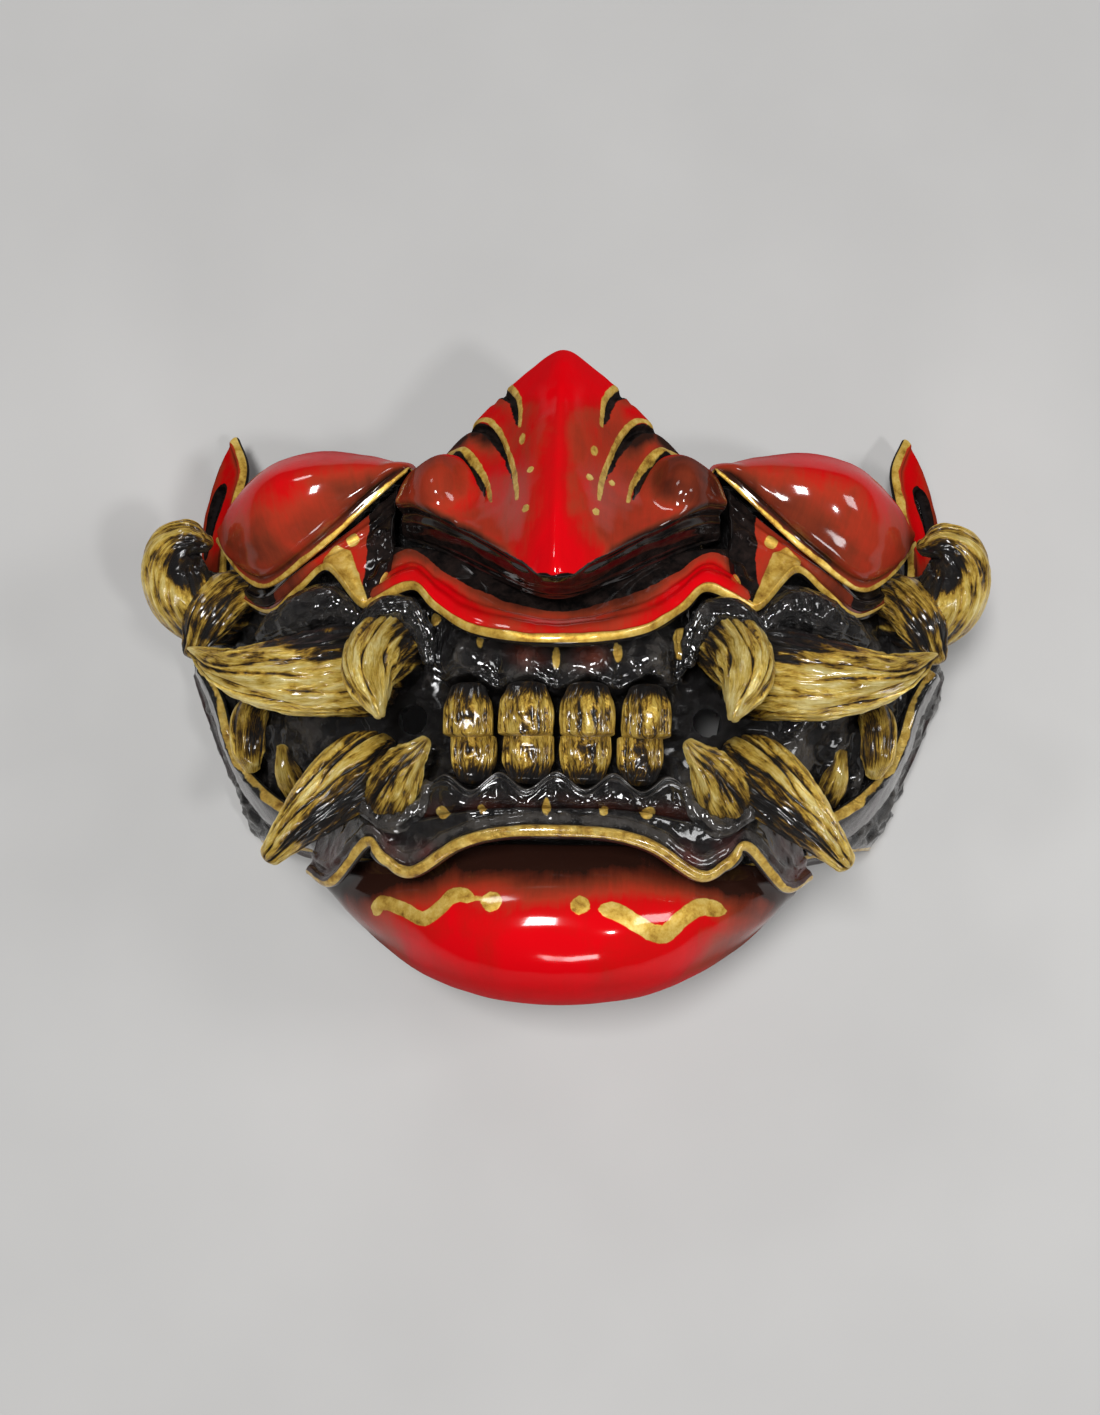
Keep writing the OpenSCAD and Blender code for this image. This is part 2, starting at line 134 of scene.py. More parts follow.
def inside_outline(points, outline):
    """Signed distance in the XY plane to a closed outline of corners, negative inside it."""
    x, y = points[..., 0], points[..., 1]
    gap = np.full(x.shape, 1e9)
    inside = np.zeros(x.shape, bool)
    for (ax, ay), (bx, by) in zip(outline, outline[1:] + outline[:1]):
        u = np.clip(((x - ax) * (bx - ax) + (y - ay) * (by - ay)) / ((bx - ax) ** 2 + (by - ay) ** 2), 0, 1)
        gap = np.minimum(gap, np.hypot(x - ax - u * (bx - ax), y - ay - u * (by - ay)))
        crosses = (ay > y) != (by > y)
        inside ^= crosses & (x < ax + (y - ay) * (bx - ax) / np.where(by == ay, 1, by - ay))
    return np.where(inside, -gap, gap)


# ---------- meshes ----------


class Sheet:
    """A plate's front: points, their place 0 to 1 across (s) and down (t), and mm to each edge."""

    def __init__(self, points, s, t):
        self.points = points
        self.t, self.s = np.meshgrid(t, s, indexing="ij")
        self.normal = unit(np.cross(np.gradient(points, axis=0), np.gradient(points, axis=1)))
        across = np.linalg.norm(np.diff(points, axis=1), axis=2)
        down = np.linalg.norm(np.diff(points, axis=0), axis=2)
        self.s0 = np.pad(np.cumsum(across, axis=1), ((0, 0), (1, 0)))
        self.t0 = np.pad(np.cumsum(down, axis=0), ((1, 0), (0, 0)))
        self.s1 = self.s0[:, -1:] - self.s0
        self.t1 = self.t0[-1:] - self.t0

    x = property(lambda self: self.points[..., 0])
    y = property(lambda self: self.points[..., 1])

    def grain(self):
        """Coordinates in centimetres, drawn out down the sheet the way a brush was pulled."""
        middle = self.s0 - self.s0[:, -1:] / 2
        return np.stack([middle * 0.1, self.t0 * 0.012, self.normal[..., 2] * 0.1], -1)


def spaced(count):
    """count + 1 values from 0 to 1, closer together at both ends, where a rim is rounded."""
    w = np.linspace(0, 1, count + 1)
    return w - 0.88 * np.sin(2 * np.pi * w) / (2 * np.pi)


def net_points(net, s, t):
    return spline(np.array([spline(row, s) for row in net]), t)


def both_sides(net):
    """A net whose rows start on the middle plane, with each row carried on to the other side."""
    return [[[-x, y, z] for x, y, z in row[:0:-1]] + [list(p) for p in row] for row in net]


def quads(index):
    return np.stack([index[:-1, :-1], index[:-1, 1:], index[1:, 1:], index[1:, :-1]], -1).reshape(-1, 4)


def closed(front, back, fields, hole=None):
    """Vertices, faces and fields of the solid between two grids that share a rim, without the hole."""
    rows, cols = front.shape[:2]
    outer = np.arange(rows * cols).reshape(rows, cols)
    inner = outer.copy()
    inner[1:-1, 1:-1] = rows * cols + np.arange((rows - 2) * (cols - 2)).reshape(rows - 2, cols - 2)
    keep = np.ones((rows - 1, cols - 1), bool) if hole is None else ~hole
    faces = [quads(outer)[keep.ravel()], quads(inner)[keep.ravel()][:, ::-1]]
    if hole is not None:
        walls = []
        for axis in (0, 1):
            edge = np.argwhere(np.diff(keep.astype(int), axis=axis) != 0)
            for i, j in edge:
                a, b = ((i + 1, j), (i + 1, j + 1)) if axis == 0 else ((i, j + 1), (i + 1, j + 1))
                turn = keep[i, j] == (axis == 0)
                wall = [outer[a], outer[b], inner[b], inner[a]]
                walls.append(wall if turn else wall[::-1])
        faces.append(np.array(walls))
    verts = np.concatenate([front.reshape(-1, 3), back[1:-1, 1:-1].reshape(-1, 3)])
    both = {}
    for key, value in fields.items():
        tail = value.shape[2:]
        both[key] = np.concatenate([value.reshape(-1, *tail), value[1:-1, 1:-1].reshape(-1, *tail)])
    inside = np.zeros(len(verts))
    inside[rows * cols :] = 1
    both["inside"] = inside
    return verts, np.concatenate(faces), both


def hole_in(within):
    """The quads with all corners within, and the points on the rim of the hole that they leave."""
    hole = within[:-1, :-1] & within[1:, :-1] & within[:-1, 1:] & within[1:, 1:]
    touch = np.zeros(within.shape, int)
    for i, j in np.ndindex(2, 2):
        touch[i : i + hole.shape[0], j : j + hole.shape[1]] += hole
    return hole, (touch > 0) & (touch < 4)


def plate(net, thickness, ns, nt, relief, paint, roll=None):
    """A curved plate with rounded rims. relief(sheet) is in millimetres, paint(sheet) gives the fields
    that the material reads, and roll = (width, height) thickens the last edge into a rolled lip."""
    points = net_points(net, spaced(ns), spaced(nt))
    sheet = Sheet(points, spaced(ns), spaced(nt))
    half = thickness / 2
    nearest = np.minimum.reduce([sheet.s0, sheet.s1, sheet.t0, sheet.t1])
    full = np.sqrt(1 - (1 - np.clip(nearest / half, 0, 1)) ** 2)
    lip = roll[1] * hump(sheet.t1, roll[0] * 0.5, roll[0] * 0.5) if roll else 0
    middle = points - sheet.normal * half
    front = middle + sheet.normal * ((half + relief(sheet) + lip) * full)[..., None]
    back = middle - sheet.normal * ((half + lip) * full)[..., None]
    return closed(front, back, {"grain": sheet.grain(), **paint(sheet)})


def bar(path, sizes, relief, sides, rings, up=(0, 0, 1), squareness=2, tip=0.8, root=0.2, carried=True):
    """A bar of rounded section along a path, with domed ends. sizes holds [half width, half depth] along it,
    relief(angle, along, millimetres along, radius) is in millimetres, and carried stops it twisting."""
    w = np.linspace(0, 1, rings + 1)
    centre, size = spline(path, w), np.maximum(spline(sizes, w), 0.3)
    ahead = unit(np.gradient(centre, axis=0))
    steps = np.linalg.norm(np.diff(centre, axis=0), axis=1)
    length = np.concatenate([[0], np.cumsum(steps)])
    dome = np.radians([15, 30, 45, 60, 72, 82])
    parts = []
    for end, sign, bulge in ((0, -1, root), (-1, 1, tip)):
        order = dome[::-1] if end == 0 else dome
        out = sign * bulge * size[end].min() * np.sin(order)
        parts.append((centre[end] + out[:, None] * ahead[end], size[end] * np.cos(order)[:, None],
                      np.repeat(ahead[end][None], len(dome), 0), np.full(len(dome), w[end]),
                      length[end] + out, np.cos(order)))
    body = (centre, size, ahead, w, length, np.ones(len(w)))
    centre, size, ahead, w, length, fade = (np.concatenate(list(x)) for x in zip(parts[0], body, parts[1]))
    across = unit(np.cross(ahead, np.asarray(up, float)))
    if carried:
        for k in range(1, len(across)):
            across[k] = unit(across[k - 1] - ahead[k] * (across[k - 1] @ ahead[k]))
    over = np.cross(across, ahead)
    angle = np.linspace(0, 2 * np.pi, sides, endpoint=False)
    power = 2 / squareness
    ca = np.sign(np.cos(angle)) * np.abs(np.cos(angle)) ** power
    sa = np.sign(np.sin(angle)) * np.abs(np.sin(angle)) ** power
    spoke = (size[:, :1] * ca)[..., None] * across[:, None] + (size[:, 1:] * sa)[..., None] * over[:, None]
    radius = np.linalg.norm(spoke, axis=2)
    turn, place = np.meshgrid(angle, w)
    far = np.repeat(length[:, None], sides, 1)
    rise = relief(turn, place, far, radius) * fade[:, None]
    rings_points = centre[:, None] + spoke + unit(spoke) * rise[..., None]
    count = len(w)
    index = np.arange(count * sides).reshape(count, sides)
    loop = np.concatenate([index, index[:, :1]], 1)
    poles = [rings_points[0].mean(0), rings_points[-1].mean(0)]
    caps = []
    for k, ring in enumerate((loop[0], loop[-1])):
        pole = count * sides + k
        caps += [[pole, b, a] if k == 0 else [pole, a, b] for a, b in zip(ring[:-1], ring[1:])]
    round_trip = np.stack([np.cos(turn), np.sin(turn), far * 0.05], -1)
    drawn = turn + 0.35 * noise(round_trip, 0.8, 61) + 0.14 * noise(round_trip, 0.3, 62)
    fibre = np.stack([np.cos(drawn), np.sin(drawn), far * 0.1], -1)

    def flat(field):
        ends = np.stack([field[0].mean(0), field[-1].mean(0)])
        return np.concatenate([field.reshape(-1, *field.shape[2:]), ends])

    verts = np.concatenate([rings_points.reshape(-1, 3), poles])
    fields = {"fibre": flat(fibre), "along": flat(place), "groove": flat(rise)}
    return verts, quads(loop), fields, caps


def volume(verts, faces):
    a, b, c = verts[faces[:, 0]], verts[faces[:, 1]], verts[faces[:, 2]]
    return np.einsum("ij,ij->i", a, np.cross(b, c)).sum()


def add_piece(node, shape, slot, mirror=False):
    """Makes a piece, seats it on its CAD node's box, and hides that node."""
    name = f"{node}_look"
    verts, faces, fields, *caps = shape
    verts = verts * (-1, 1, 1) if mirror else verts
    faces = [list(map(int, f)) for f in faces] + [list(map(int, f)) for f in (caps[0] if caps else [])]
    low, high = (np.array(corner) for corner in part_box(node))
    a, b = verts.min(0), verts.max(0)
    verts = low + (verts - a) / (b - a) * (high - low)
    if volume(verts, np.array([f[:3] for f in faces])) < 0:
        faces = [f[::-1] for f in faces]
    mesh = bpy.data.meshes.new(name)
    mesh.from_pydata(verts.tolist(), [], faces)
    for key, value in fields.items():
        kind = "FLOAT_VECTOR" if value.ndim == 2 else "FLOAT"
        data = mesh.attributes.new(key, kind, "POINT").data
        data.foreach_set("vector" if value.ndim == 2 else "value", value.astype(np.float32).ravel())
    mesh.shade_smooth()
    piece = bpy.data.objects.new(name, mesh)
    bpy.context.scene.collection.objects.link(piece)
    mesh.materials.append(MATERIALS[slot])
    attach(piece, "root")
    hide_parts(node)


def add_pair(name, shape, slot):
    """The right piece as made, and its mirror image for the left."""
    add_piece(f"{name}_left", shape, slot, mirror=True)
    add_piece(f"{name}_right", shape, slot)


# ---------- materials ----------


class Graph:
    """A material's nodes, added call by call. A socket is linked, and anything else is set on the input."""

    def __init__(self, name):
        self.material = bpy.data.materials.new(name)
        self.material.use_nodes = True
        self.tree = self.material.node_tree
        self.tree.nodes.clear()

    def add(self, kind, inputs, out=0, **settings):
        node = self.tree.nodes.new("ShaderNode" + kind)
        for key, value in settings.items():
            setattr(node, key, value)
        for key, value in inputs.items():
            if isinstance(value, bpy.types.NodeSocket):
                self.tree.links.new(value, node.inputs[key])
            else:
                node.inputs[key].default_value = value
        return node.outputs[out]

    def place(self):
        return self.add("TexCoord", {}, "Object")

    def field(self, name):
        return self.add("Attribute", {}, "Fac", attribute_name=name)

    def vector_field(self, name, scale=(1, 1, 1)):
        found = self.add("Attribute", {}, "Vector", attribute_name=name)
        return self.add("VectorMath", {0: found, 1: scale}, operation="MULTIPLY")

    def noise(self, vector, scale, detail=3, roughness=0.5, distortion=0.0):
        inputs = {"Vector": vector, "Scale": scale, "Detail": detail, "Roughness": roughness}
        return self.add("TexNoise", inputs | {"Distortion": distortion}, "Fac")

    def maths(self, operation, a, b=0.0):
        return self.add("Math", {0: a, 1: b}, operation=operation)

    def about_zero(self, value):
        return self.maths("SUBTRACT", value, 0.5)

    def blend(self, *terms):
        """The sum of terms, each a value and its weight."""
        total = self.maths("MULTIPLY", *terms[0])
        for value, weight in terms[1:]:
            total = self.maths("ADD", total, self.maths("MULTIPLY", value, weight))
        return total

    def step(self, value, low, high):
        inputs = {"Value": value, "From Min": low, "From Max": high}
        return self.add("MapRange", inputs, interpolation_type="SMOOTHSTEP")

    def ramp(self, value, stops):
        node = self.tree.nodes.new("ShaderNodeValToRGB")
        self.tree.links.new(value, node.inputs[0])
        for k, (at, colour) in enumerate(stops):
            element = node.color_ramp.elements[k] if k < 2 else node.color_ramp.elements.new(at)
            element.position = at
            element.color = (*colour, 1)
        return node.outputs[0]

    def mix(self, factor, a, b):
        pick = {"Factor": factor, 6: a, 7: b}
        return self.add("Mix", pick, 2, data_type="RGBA")

    def bump(self, height, distance, strength=1.0):
        return self.add("Bump", {"Height": height, "Distance": distance, "Strength": strength})

    def finish(self, colour, roughness, metallic, normal, coat, coat_roughness, specular=0.25):
        inputs = {"Base Color": colour, "Roughness": roughness, "Metallic": metallic, "Normal": normal,
                  "Coat Weight": coat, "Coat Roughness": coat_roughness, "Coat IOR": 1.5,
                  "Specular IOR Level": specular}
        shader = self.add("BsdfPrincipled", inputs)
        self.add_output(shader)
        return self.material

    def add_output(self, shader):
        output = self.tree.nodes.new("ShaderNodeOutputMaterial")
        self.tree.links.new(shader, output.inputs["Surface"])


GOLD_DARK, GOLD, GOLD_PALE = (0.20, 0.095, 0.016), (0.60, 0.38, 0.068), (0.80, 0.60, 0.18)
RAW_BLACK = (0.0035, 0.003, 0.003)


def gold_paint(g, value):
    return g.ramp(value, [(0.30, GOLD_DARK), (0.40, (0.42, 0.24, 0.038)), (0.50, GOLD), (0.70, GOLD_PALE)])


def painted_mask(g, distance, wobble, ragged):
    """1 inside a painted shape and 0 outside, from its signed distance in mm, with an unsteady edge."""
    shifted = g.blend((distance, 1), (g.about_zero(wobble), ragged * 2))
    return g.step(shifted, 0.12, -0.12)


def red_lacquer():
    g = Graph("red_lacquer")
    place = g.place()
    streak = g.noise(g.vector_field("grain"), 5.0, 6, 0.65)
    hair = g.noise(g.vector_field("grain"), 22.0, 4, 0.6)
    blotch = g.noise(place, 60, 4, 0.55, 0.6)
    # tone runs from bright crimson at 0 to dark brown at 1. The shade field behind it holds both the paint's own
    # tone and painted shade.
    tone = g.blend((g.field("shade"), 1), (g.about_zero(streak), 0.22), (g.about_zero(blotch), 0.75),
                   (g.about_zero(hair), 0.08))
    red = g.ramp(tone, [(0.02, (0.60, 0.001, 0.004)), (0.22, (0.49, 0.004, 0.004)),
                        (0.42, (0.34, 0.028, 0.012)), (0.66, (0.17, 0.026, 0.011)), (0.95, (0.025, 0.009, 0.006))])
    fine = g.noise(place, 900, 3, 0.6)
    black = painted_mask(g, g.field("black_mm"), g.noise(place, 350, 3, 0.6), 0.6)
    gold = painted_mask(g, g.field("gold_mm"), g.noise(place, 420, 2, 0.5), 0.28)
    rubbed = g.noise(place, 260, 5, 0.7)
    colour = g.mix(black, red, g.ramp(rubbed, [(0.4, RAW_BLACK), (0.75, (0.022, 0.014, 0.012))]))
    colour = g.mix(gold, colour, gold_paint(g, rubbed))
    inside = g.step(g.field("inside"), 0.2, 0.9)
    colour = g.mix(inside, colour, (0.012, 0.010, 0.010, 1))
    worn = g.maths("MULTIPLY", gold, fine)
    height = g.blend((g.noise(place, 150, 4, 0.55), 1.6), (hair, 0.25), (worn, 0.8))
    normal = g.bump(height, 0.00016, 0.7)
    roughness = g.maths("ADD", 0.30, g.maths("MULTIPLY", gold, 0.14))
    coat = g.maths("SUBTRACT", 0.85, g.field("matte"))
    return g.finish(colour, roughness, g.maths("MULTIPLY", gold, 0.4), normal, coat, 0.09, 0.0)


def wet_black(name, tint=(0.10, 0.022, 0.012), coat_roughness=0.09, coat=0.95):
    """Glossy black paint with grey painted on its ridges as sheen, red-brown tints and gold marks."""
    g = Graph(name)
    place = g.place()
    rubbed = g.noise(place, 300, 5, 0.7)
    black = g.ramp(rubbed, [(0.42, RAW_BLACK), (0.62, (0.0077, 0.0066, 0.0066)),
                            (0.85, (0.024, 0.021, 0.019))])
    # Grey on the raised ridges, where the height field is high: a painted sheen on the glossy black.
    ridge_sheen = g.step(g.blend((g.field("height"), 1), (g.about_zero(rubbed), 1.6)), 0.55, 1.3)
    black = g.mix(ridge_sheen, black, (0.045, 0.040, 0.036, 1))
    wash = g.maths("MULTIPLY", g.field("tint"), g.step(g.noise(place, 160, 3, 0.5), 0.25, 0.75))
    colour = g.mix(wash, black, (*tint, 1))
    gold = painted_mask(g, g.field("gold_mm"), g.noise(place, 420, 3, 0.6), 0.4)
    colour = g.mix(gold, colour, gold_paint(g, rubbed))
    inside = g.step(g.field("inside"), 0.2, 0.9)
    colour = g.mix(inside, colour, (0.010, 0.009, 0.009, 1))
    height = g.blend((g.noise(place, 420, 6, 0.68, 0.8), 1.0), (g.noise(place, 1600, 3, 0.6), 0.3))
    normal = g.bump(height, 0.0015, 0.9)
    roughness = g.maths("ADD", 0.27, g.maths("MULTIPLY", gold, 0.15))
    coat = g.maths("SUBTRACT", coat, g.field("matte"))
    return g.finish(colour, roughness, g.maths("MULTIPLY", gold, 0.5), normal, coat, coat_roughness)


def dry_brushed_gold(name, streaks, cover, coat, weights):
    """Gold dragged over black along the fibres of a tusk or tooth. cover shifts how much gold there is, and
    weights are those of wide, thin and hair streaks and of patches."""
    g = Graph(name)
    place = g.place()
    wide = g.noise(g.vector_field("fibre", (streaks, streaks, 1.1)), 1.0, 4, 0.6)
    thin = g.noise(g.vector_field("fibre", (streaks * 3, streaks * 3, 2.6)), 1.0, 5, 0.66)
    hair = g.noise(g.vector_field("fibre", (streaks * 8, streaks * 8, 7.0)), 1.0, 4, 0.7)
    patch = g.noise(place, 190, 4, 0.6)
    parts = zip((wide, thin, hair, g.about_zero(patch)), weights)
    value = g.blend(*parts, (g.field("groove"), 0.42), (g.field("cover"), 1))
    value = g.maths("ADD", value, cover)
    colour = g.ramp(value, [(0.38, (0.004, 0.003, 0.003)), (0.46, (0.030, 0.015, 0.004)),
                            (0.54, (0.20, 0.105, 0.014)), (0.63, (0.50, 0.30, 0.040)),
                            (0.76, (0.74, 0.52, 0.10)), (0.98, (0.95, 0.80, 0.34))])
    paint = g.step(value, 0.45, 0.55)
    height = g.blend((thin, 0.8), (hair, 0.55), (paint, 0.25))
    normal = g.bump(height, 0.0018, 0.85)
    roughness = g.maths("SUBTRACT", 0.5, g.maths("MULTIPLY", paint, 0.1))
    return g.finish(colour, roughness, g.maths("MULTIPLY", paint, 0.45), normal, coat, 0.14)


MATERIALS = {
    "red_lacquer": red_lacquer(),
    "gum_black": wet_black("gum_black"),
    "lip_black": wet_black("lip_black", tint=(0.085, 0.012, 0.009)),
    "shell_black": wet_black("shell_black", coat_roughness=0.12, coat=0.75),
    "tusk_gold": dry_brushed_gold("tusk_gold", 3.2, -0.26, 0.7, (0.42, 0.70, 0.52, 0.62)),
    "tooth_gold": dry_brushed_gold("tooth_gold", 4.2, -0.27, 0.5, (0.18, 0.70, 0.74, 0.55))
}

# ---------- red plates ----------

NOSE = [
    [[0, 76.8, 70], [8, 72.4, 68.5], [15.5, 66.8, 65.5], [21.5, 61.3, 62.8], [26.5, 56.5, 60], [31, 52, 57]],
    [[0, 70, 77], [6, 67, 75.5], [13, 61.8, 71.5], [19.5, 57, 68.3], [26.5, 52.6, 65], [33, 49.5, 61]],
    [[0, 58, 85], [6, 56, 83], [13, 52.5, 76.5], [20, 50.5, 71.5], [28, 50.5, 70.5], [35.5, 48.5, 63.5]],
    [[0, 45, 92], [6, 44, 89.5], [13, 43, 81.5], [20.5, 44, 76], [29, 45.5, 79], [37.5, 44, 68]],
    [[0, 32, 98.5], [6, 32.5, 95.5], [13.5, 34, 87], [21, 37, 80.5], [30, 39.5, 82], [39, 39, 70]],
    [[0, 17, 103.2], [6, 18.3, 99], [14, 23.8, 91], [22, 29, 84.5], [30, 33, 81], [38.5, 35.5, 70.5]],
    [[0, 13.5, 101.5], [6, 15, 97], [14, 20.5, 87.5], [22, 25.8, 81], [30, 30, 76.5], [38.5, 33, 67.5]],
    [[0, 12.4, 92], [6, 14.2, 88], [14.5, 19.2, 81.5], [22, 24, 76.5], [30, 28.6, 71.5], [38.5, 32, 65.5]],
    [[0, 13, 83.5], [6, 14.6, 81.5], [15, 18.8, 77.5], [22, 23, 73.5], [30, 27.6, 69], [38, 31.2, 64.5]]
]
# Three folds beside the bridge: the groove's path, the path of the gold line beside it, and its depth
FOLDS = [
    ([(20, 66.8), (17.5, 67.6), (14.6, 66.8), (12, 63.8), (10.7, 58.2), (9.8, 54.5)],
     [(18, 70), (15.5, 69.8), (12.8, 67.8), (10.4, 63.2), (9.7, 58.3), (9.5, 54.4)], 1.5),
    ([(26.5, 56.5), (24.5, 58.5), (21.7, 58.9), (17.5, 56.2), (13.9, 50.2), (11.5, 43.8), (9.8, 37.8)],
     [(23.5, 60.3), (18.9, 60.1), (15.7, 56.8), (13, 50.6), (10.9, 44), (9.6, 38), (9.2, 34)], 1.9),
    ([(32, 49.5), (30, 51.3), (27.5, 51.6), (23.6, 50), (20.3, 45.5), (18.1, 40.3), (16.8, 36)],
     [(29.5, 52.8), (25, 52.8), (22, 50.5), (19.2, 46), (16.8, 40.5), (15.6, 35.3)], 1.7),
]
# Where the nose turns under, and everything below is black
NOSE_EDGE = [(0, 14.0), (4.2, 15.0), (7.2, 18.0), (13.6, 22.8), (19.9, 27.5), (28.6, 32.6),
             (34, 35.4), (40, 37.5)]
NOSE_DOTS = [(-8.7, 50.4, 0.8, 1.5), (-6.3, 40.9, 0.8, 0.8), (-7.0, 31.0, 0.9, 0.9), (7.9, 46.9, 0.8, 1.3),
             (7.1, 39.3, 0.9, 0.9), (12.1, 39.8, 0.7, 0.9), (8.6, 30.8, 0.9, 0.9)]


def half(sheet):
    """The sheet's points with x made positive, so that one side's curves serve both."""
    return np.concatenate([np.abs(sheet.points[..., :1]), sheet.points[..., 1:]], -1)


def nose_under(sheet):
    """Millimetres past the line where the nose turns under."""
    xs, ys = zip(*NOSE_EDGE)
    return np.maximum(np.interp(np.abs(sheet.x), xs, ys) - sheet.y, (sheet.t - 0.745) * 50)


def nostril(points):
    """Distance from the middle of the nostril's bulb, 1 at its edge."""
    return np.hypot((points[..., 0] - 29.8) / 11.4, (points[..., 1] - 41.5) / 9.2)


def nose_relief(sheet):
    points = half(sheet)
    x, y = points[..., 0], points[..., 1]
    rise = np.zeros_like(x)
    for groove, line, depth in FOLDS:
        gap, along = to_path(points, groove)
        fade = np.clip((1 - along) * 2.2, 0, 1) * smooth(0, 0.32, along)
        rise -= depth * hump(gap, 0, 0.8) * fade
        line_gap, line_along = to_path(points, line)
        hollow = smooth(0.5, 3, gap) * smooth(6.5, 2.5, gap) * smooth(0.5, 2.5, line_gap - gap)
        rise -= 0.35 * depth * hollow * fade
        line_fade = np.clip((1 - line_along) * 2.2, 0, 1) * smooth(0.05, 0.45, line_along)
        rise += 0.2 * depth * hump(line_gap, 0, 0.9) * line_fade
    bulb = nostril(points)
    rise += 1.5 * np.clip(1 - bulb**2, 0, 1) ** 0.7 * smooth(34, 38.5, y + 0.1 * (30 - x))
    rise -= 0.5 * hump(bulb, 1.06, 0.07) * smooth(36, 42, y)
    under = nose_under(sheet)
    rise += 0.5 * hump(under, -1.2, 1.6) * smooth(6, 14, x) - 0.7 * hump(under, 1.2, 1.0) * smooth(3, 8, x)
    rise += 0.22 * np.sin(under * 1.5) * smooth(2, 4, under)
    rise += 0.55 * hump(x, 0, 1.3) * smooth(70, 60, y) * smooth(12, 18, y)
    rise += 0.2 * noise(sheet.points, 8, 1) + 0.07 * noise(sheet.points, 2.6, 2)
    return rise


def nose_paint(sheet):
    points = half(sheet)
    x, y = points[..., 0], points[..., 1]
    gold = np.full(x.shape, 9.0)
    under = nose_under(sheet)
    black = -0.4 - under
    shade = 0.37 - 0.24 * hump(x, 0, 4.5) - 0.5 * smooth(56, 68, y)
    for groove, line, depth in FOLDS:
        gold = np.minimum(gold, stroke(points, line, 0.85, 0.5))
        gap, along = to_path(points, groove)
        width = 1.35 * np.clip((1 - along) * 2.0, 0, 1) ** 0.6 * smooth(0, 0.12, along)
        black = np.minimum(black, gap - width)
        line_gap = to_path(points, line)[0]
        # Darker in the hollow beside each fold: painted shade.
        hollow_shade = smooth(0.6, 1.6, line_gap - gap) * smooth(5.5, 1.5, gap)
        hollow_shade = hollow_shade * smooth(0.98, 1.1, nostril(points))
        shade = shade + 0.6 * hollow_shade * smooth(0.85, 0.5, along) * depth / 1.9
    for mark in NOSE_DOTS:
        gold = np.minimum(gold, spot(sheet.points, *mark))
    bulb = nostril(points)
    shade += 0.24 * smooth(0.95, 0.5, bulb) - 0.5 * hump(bulb, 0.97, 0.09) * smooth(40, 47, y)
    shade -= 0.38 * hump(y, 18, 7) * hump(x, 0, 9)
    shade += 0.13 * smooth(0, 3, sheet.x) * smooth(66, 50, y) * smooth(20, 26, y)
    shade += 0.5 * smooth(-2.4, -0.3, under) * smooth(8, 14, x)
    matte = 0.8 * np.maximum(smooth(30, 48, y) * smooth(1, 6, x), smooth(52, 66, y))
    return {"gold_mm": gold, "black_mm": black, "shade": shade, "matte": matte}


CHIN = [
    [[0, -41, 66.5], [15, -41, 65.5], [29, -42.5, 61.5], [41, -44, 55], [51, -45, 46], [58.5, -46, 35]],
    [[0, -51, 76.5], [15.5, -51.5, 75], [30, -52, 69.5], [42, -52.5, 61], [51.5, -52, 51], [58.5, -50, 39]],
    [[0, -62, 79], [15, -62, 77.5], [29, -61, 71], [40, -60, 61.5], [49.5, -57.5, 50], [56, -53, 38]],
    [[0, -72, 72.5], [14, -71.5, 71], [27, -69.5, 64.5], [37.5, -66, 55], [46, -62, 44], [53, -56.5, 32]],
    [[0, -78, 57], [13, -77.2, 55.5], [25, -74.5, 50], [35.5, -70, 43], [44, -64.5, 34.5], [51, -58.5, 25]],
    [[0, -77, 40], [13, -76, 38.5], [24.5, -73, 34.5],
     [34.5, -68.5, 29.5], [42.5, -63, 24], [49.5, -57.5, 18]],
    [[0, -72.5, 27], [12, -71.5, 26], [23.5, -69, 23.5], [33, -65, 20], [41, -60, 16.5], [48, -55, 13]],
]
CHIN_STROKES = [
    ([(-42.2, -57.8), (-40.4, -55.3), (-34.8, -56.8), (-29.9, -58.9), (-26, -56.7),
      (-22.4, -53.5), (-18.1, -54.4)], 1.6),
    ([(10.4, -56.2), (14.4, -57.1), (18.8, -59.7), (24, -61.8), (28.4, -58.1), (33, -55.4),
      (38.3, -56.3)], 1.9),
]


def chin_paint(sheet):
    gold = np.minimum(spot(sheet.points, -14, -55, 2.3, 2.3), spot(sheet.points, 5.6, -55.6, 2.1, 2.1))
    for path, width in CHIN_STROKES:
        gold = np.minimum(gold, stroke(sheet.points, path, width, 0.06))
    gold = np.where(sheet.t < 0.6, gold, 9.0)
    # Darker towards the top, under the edge of the lower lip: painted shadow. Darker towards both sides too.
    shade = 0.95 * smooth(-59.5, -45, sheet.y) * smooth(0.75, 0.3, sheet.t)
    shade += 0.62 * smooth(22, 50, np.abs(sheet.x)) + 0.12 * noise(sheet.points, 9, 30)
    matte = 0.75 * smooth(0.36, 0.55, sheet.t)
    return {"gold_mm": gold, "black_mm": np.full(gold.shape, 9.0), "shade": shade + 0.04, "matte": matte}


def chin_relief(sheet):
    return 0.22 * noise(sheet.points, 11, 3) + 0.07 * noise(sheet.points, 4, 4)


LIP_NET = [
    [[0, 16, 78.5], [10, 19, 77.5], [20, 23.5, 75], [29, 27.5, 71.5], [36, 29, 68.5], [42, 30, 64]],
    [[0, 9.5, 82], [10, 12, 81], [20, 16.5, 78.5], [28, 21, 75], [34.5, 24, 71.5], [43, 22, 67]],
    [[0, 5.5, 87], [10, 7, 86], [20, 10, 83], [27.5, 15, 79], [34, 20, 75.5], [44, 17, 70.5]],
    [[0, 3.6, 90.5], [10, 4, 89.5], [20, 6.5, 86], [27.5, 11.8, 81.5], [34, 17.5, 77.5], [45.3, 13.5, 73]],
]


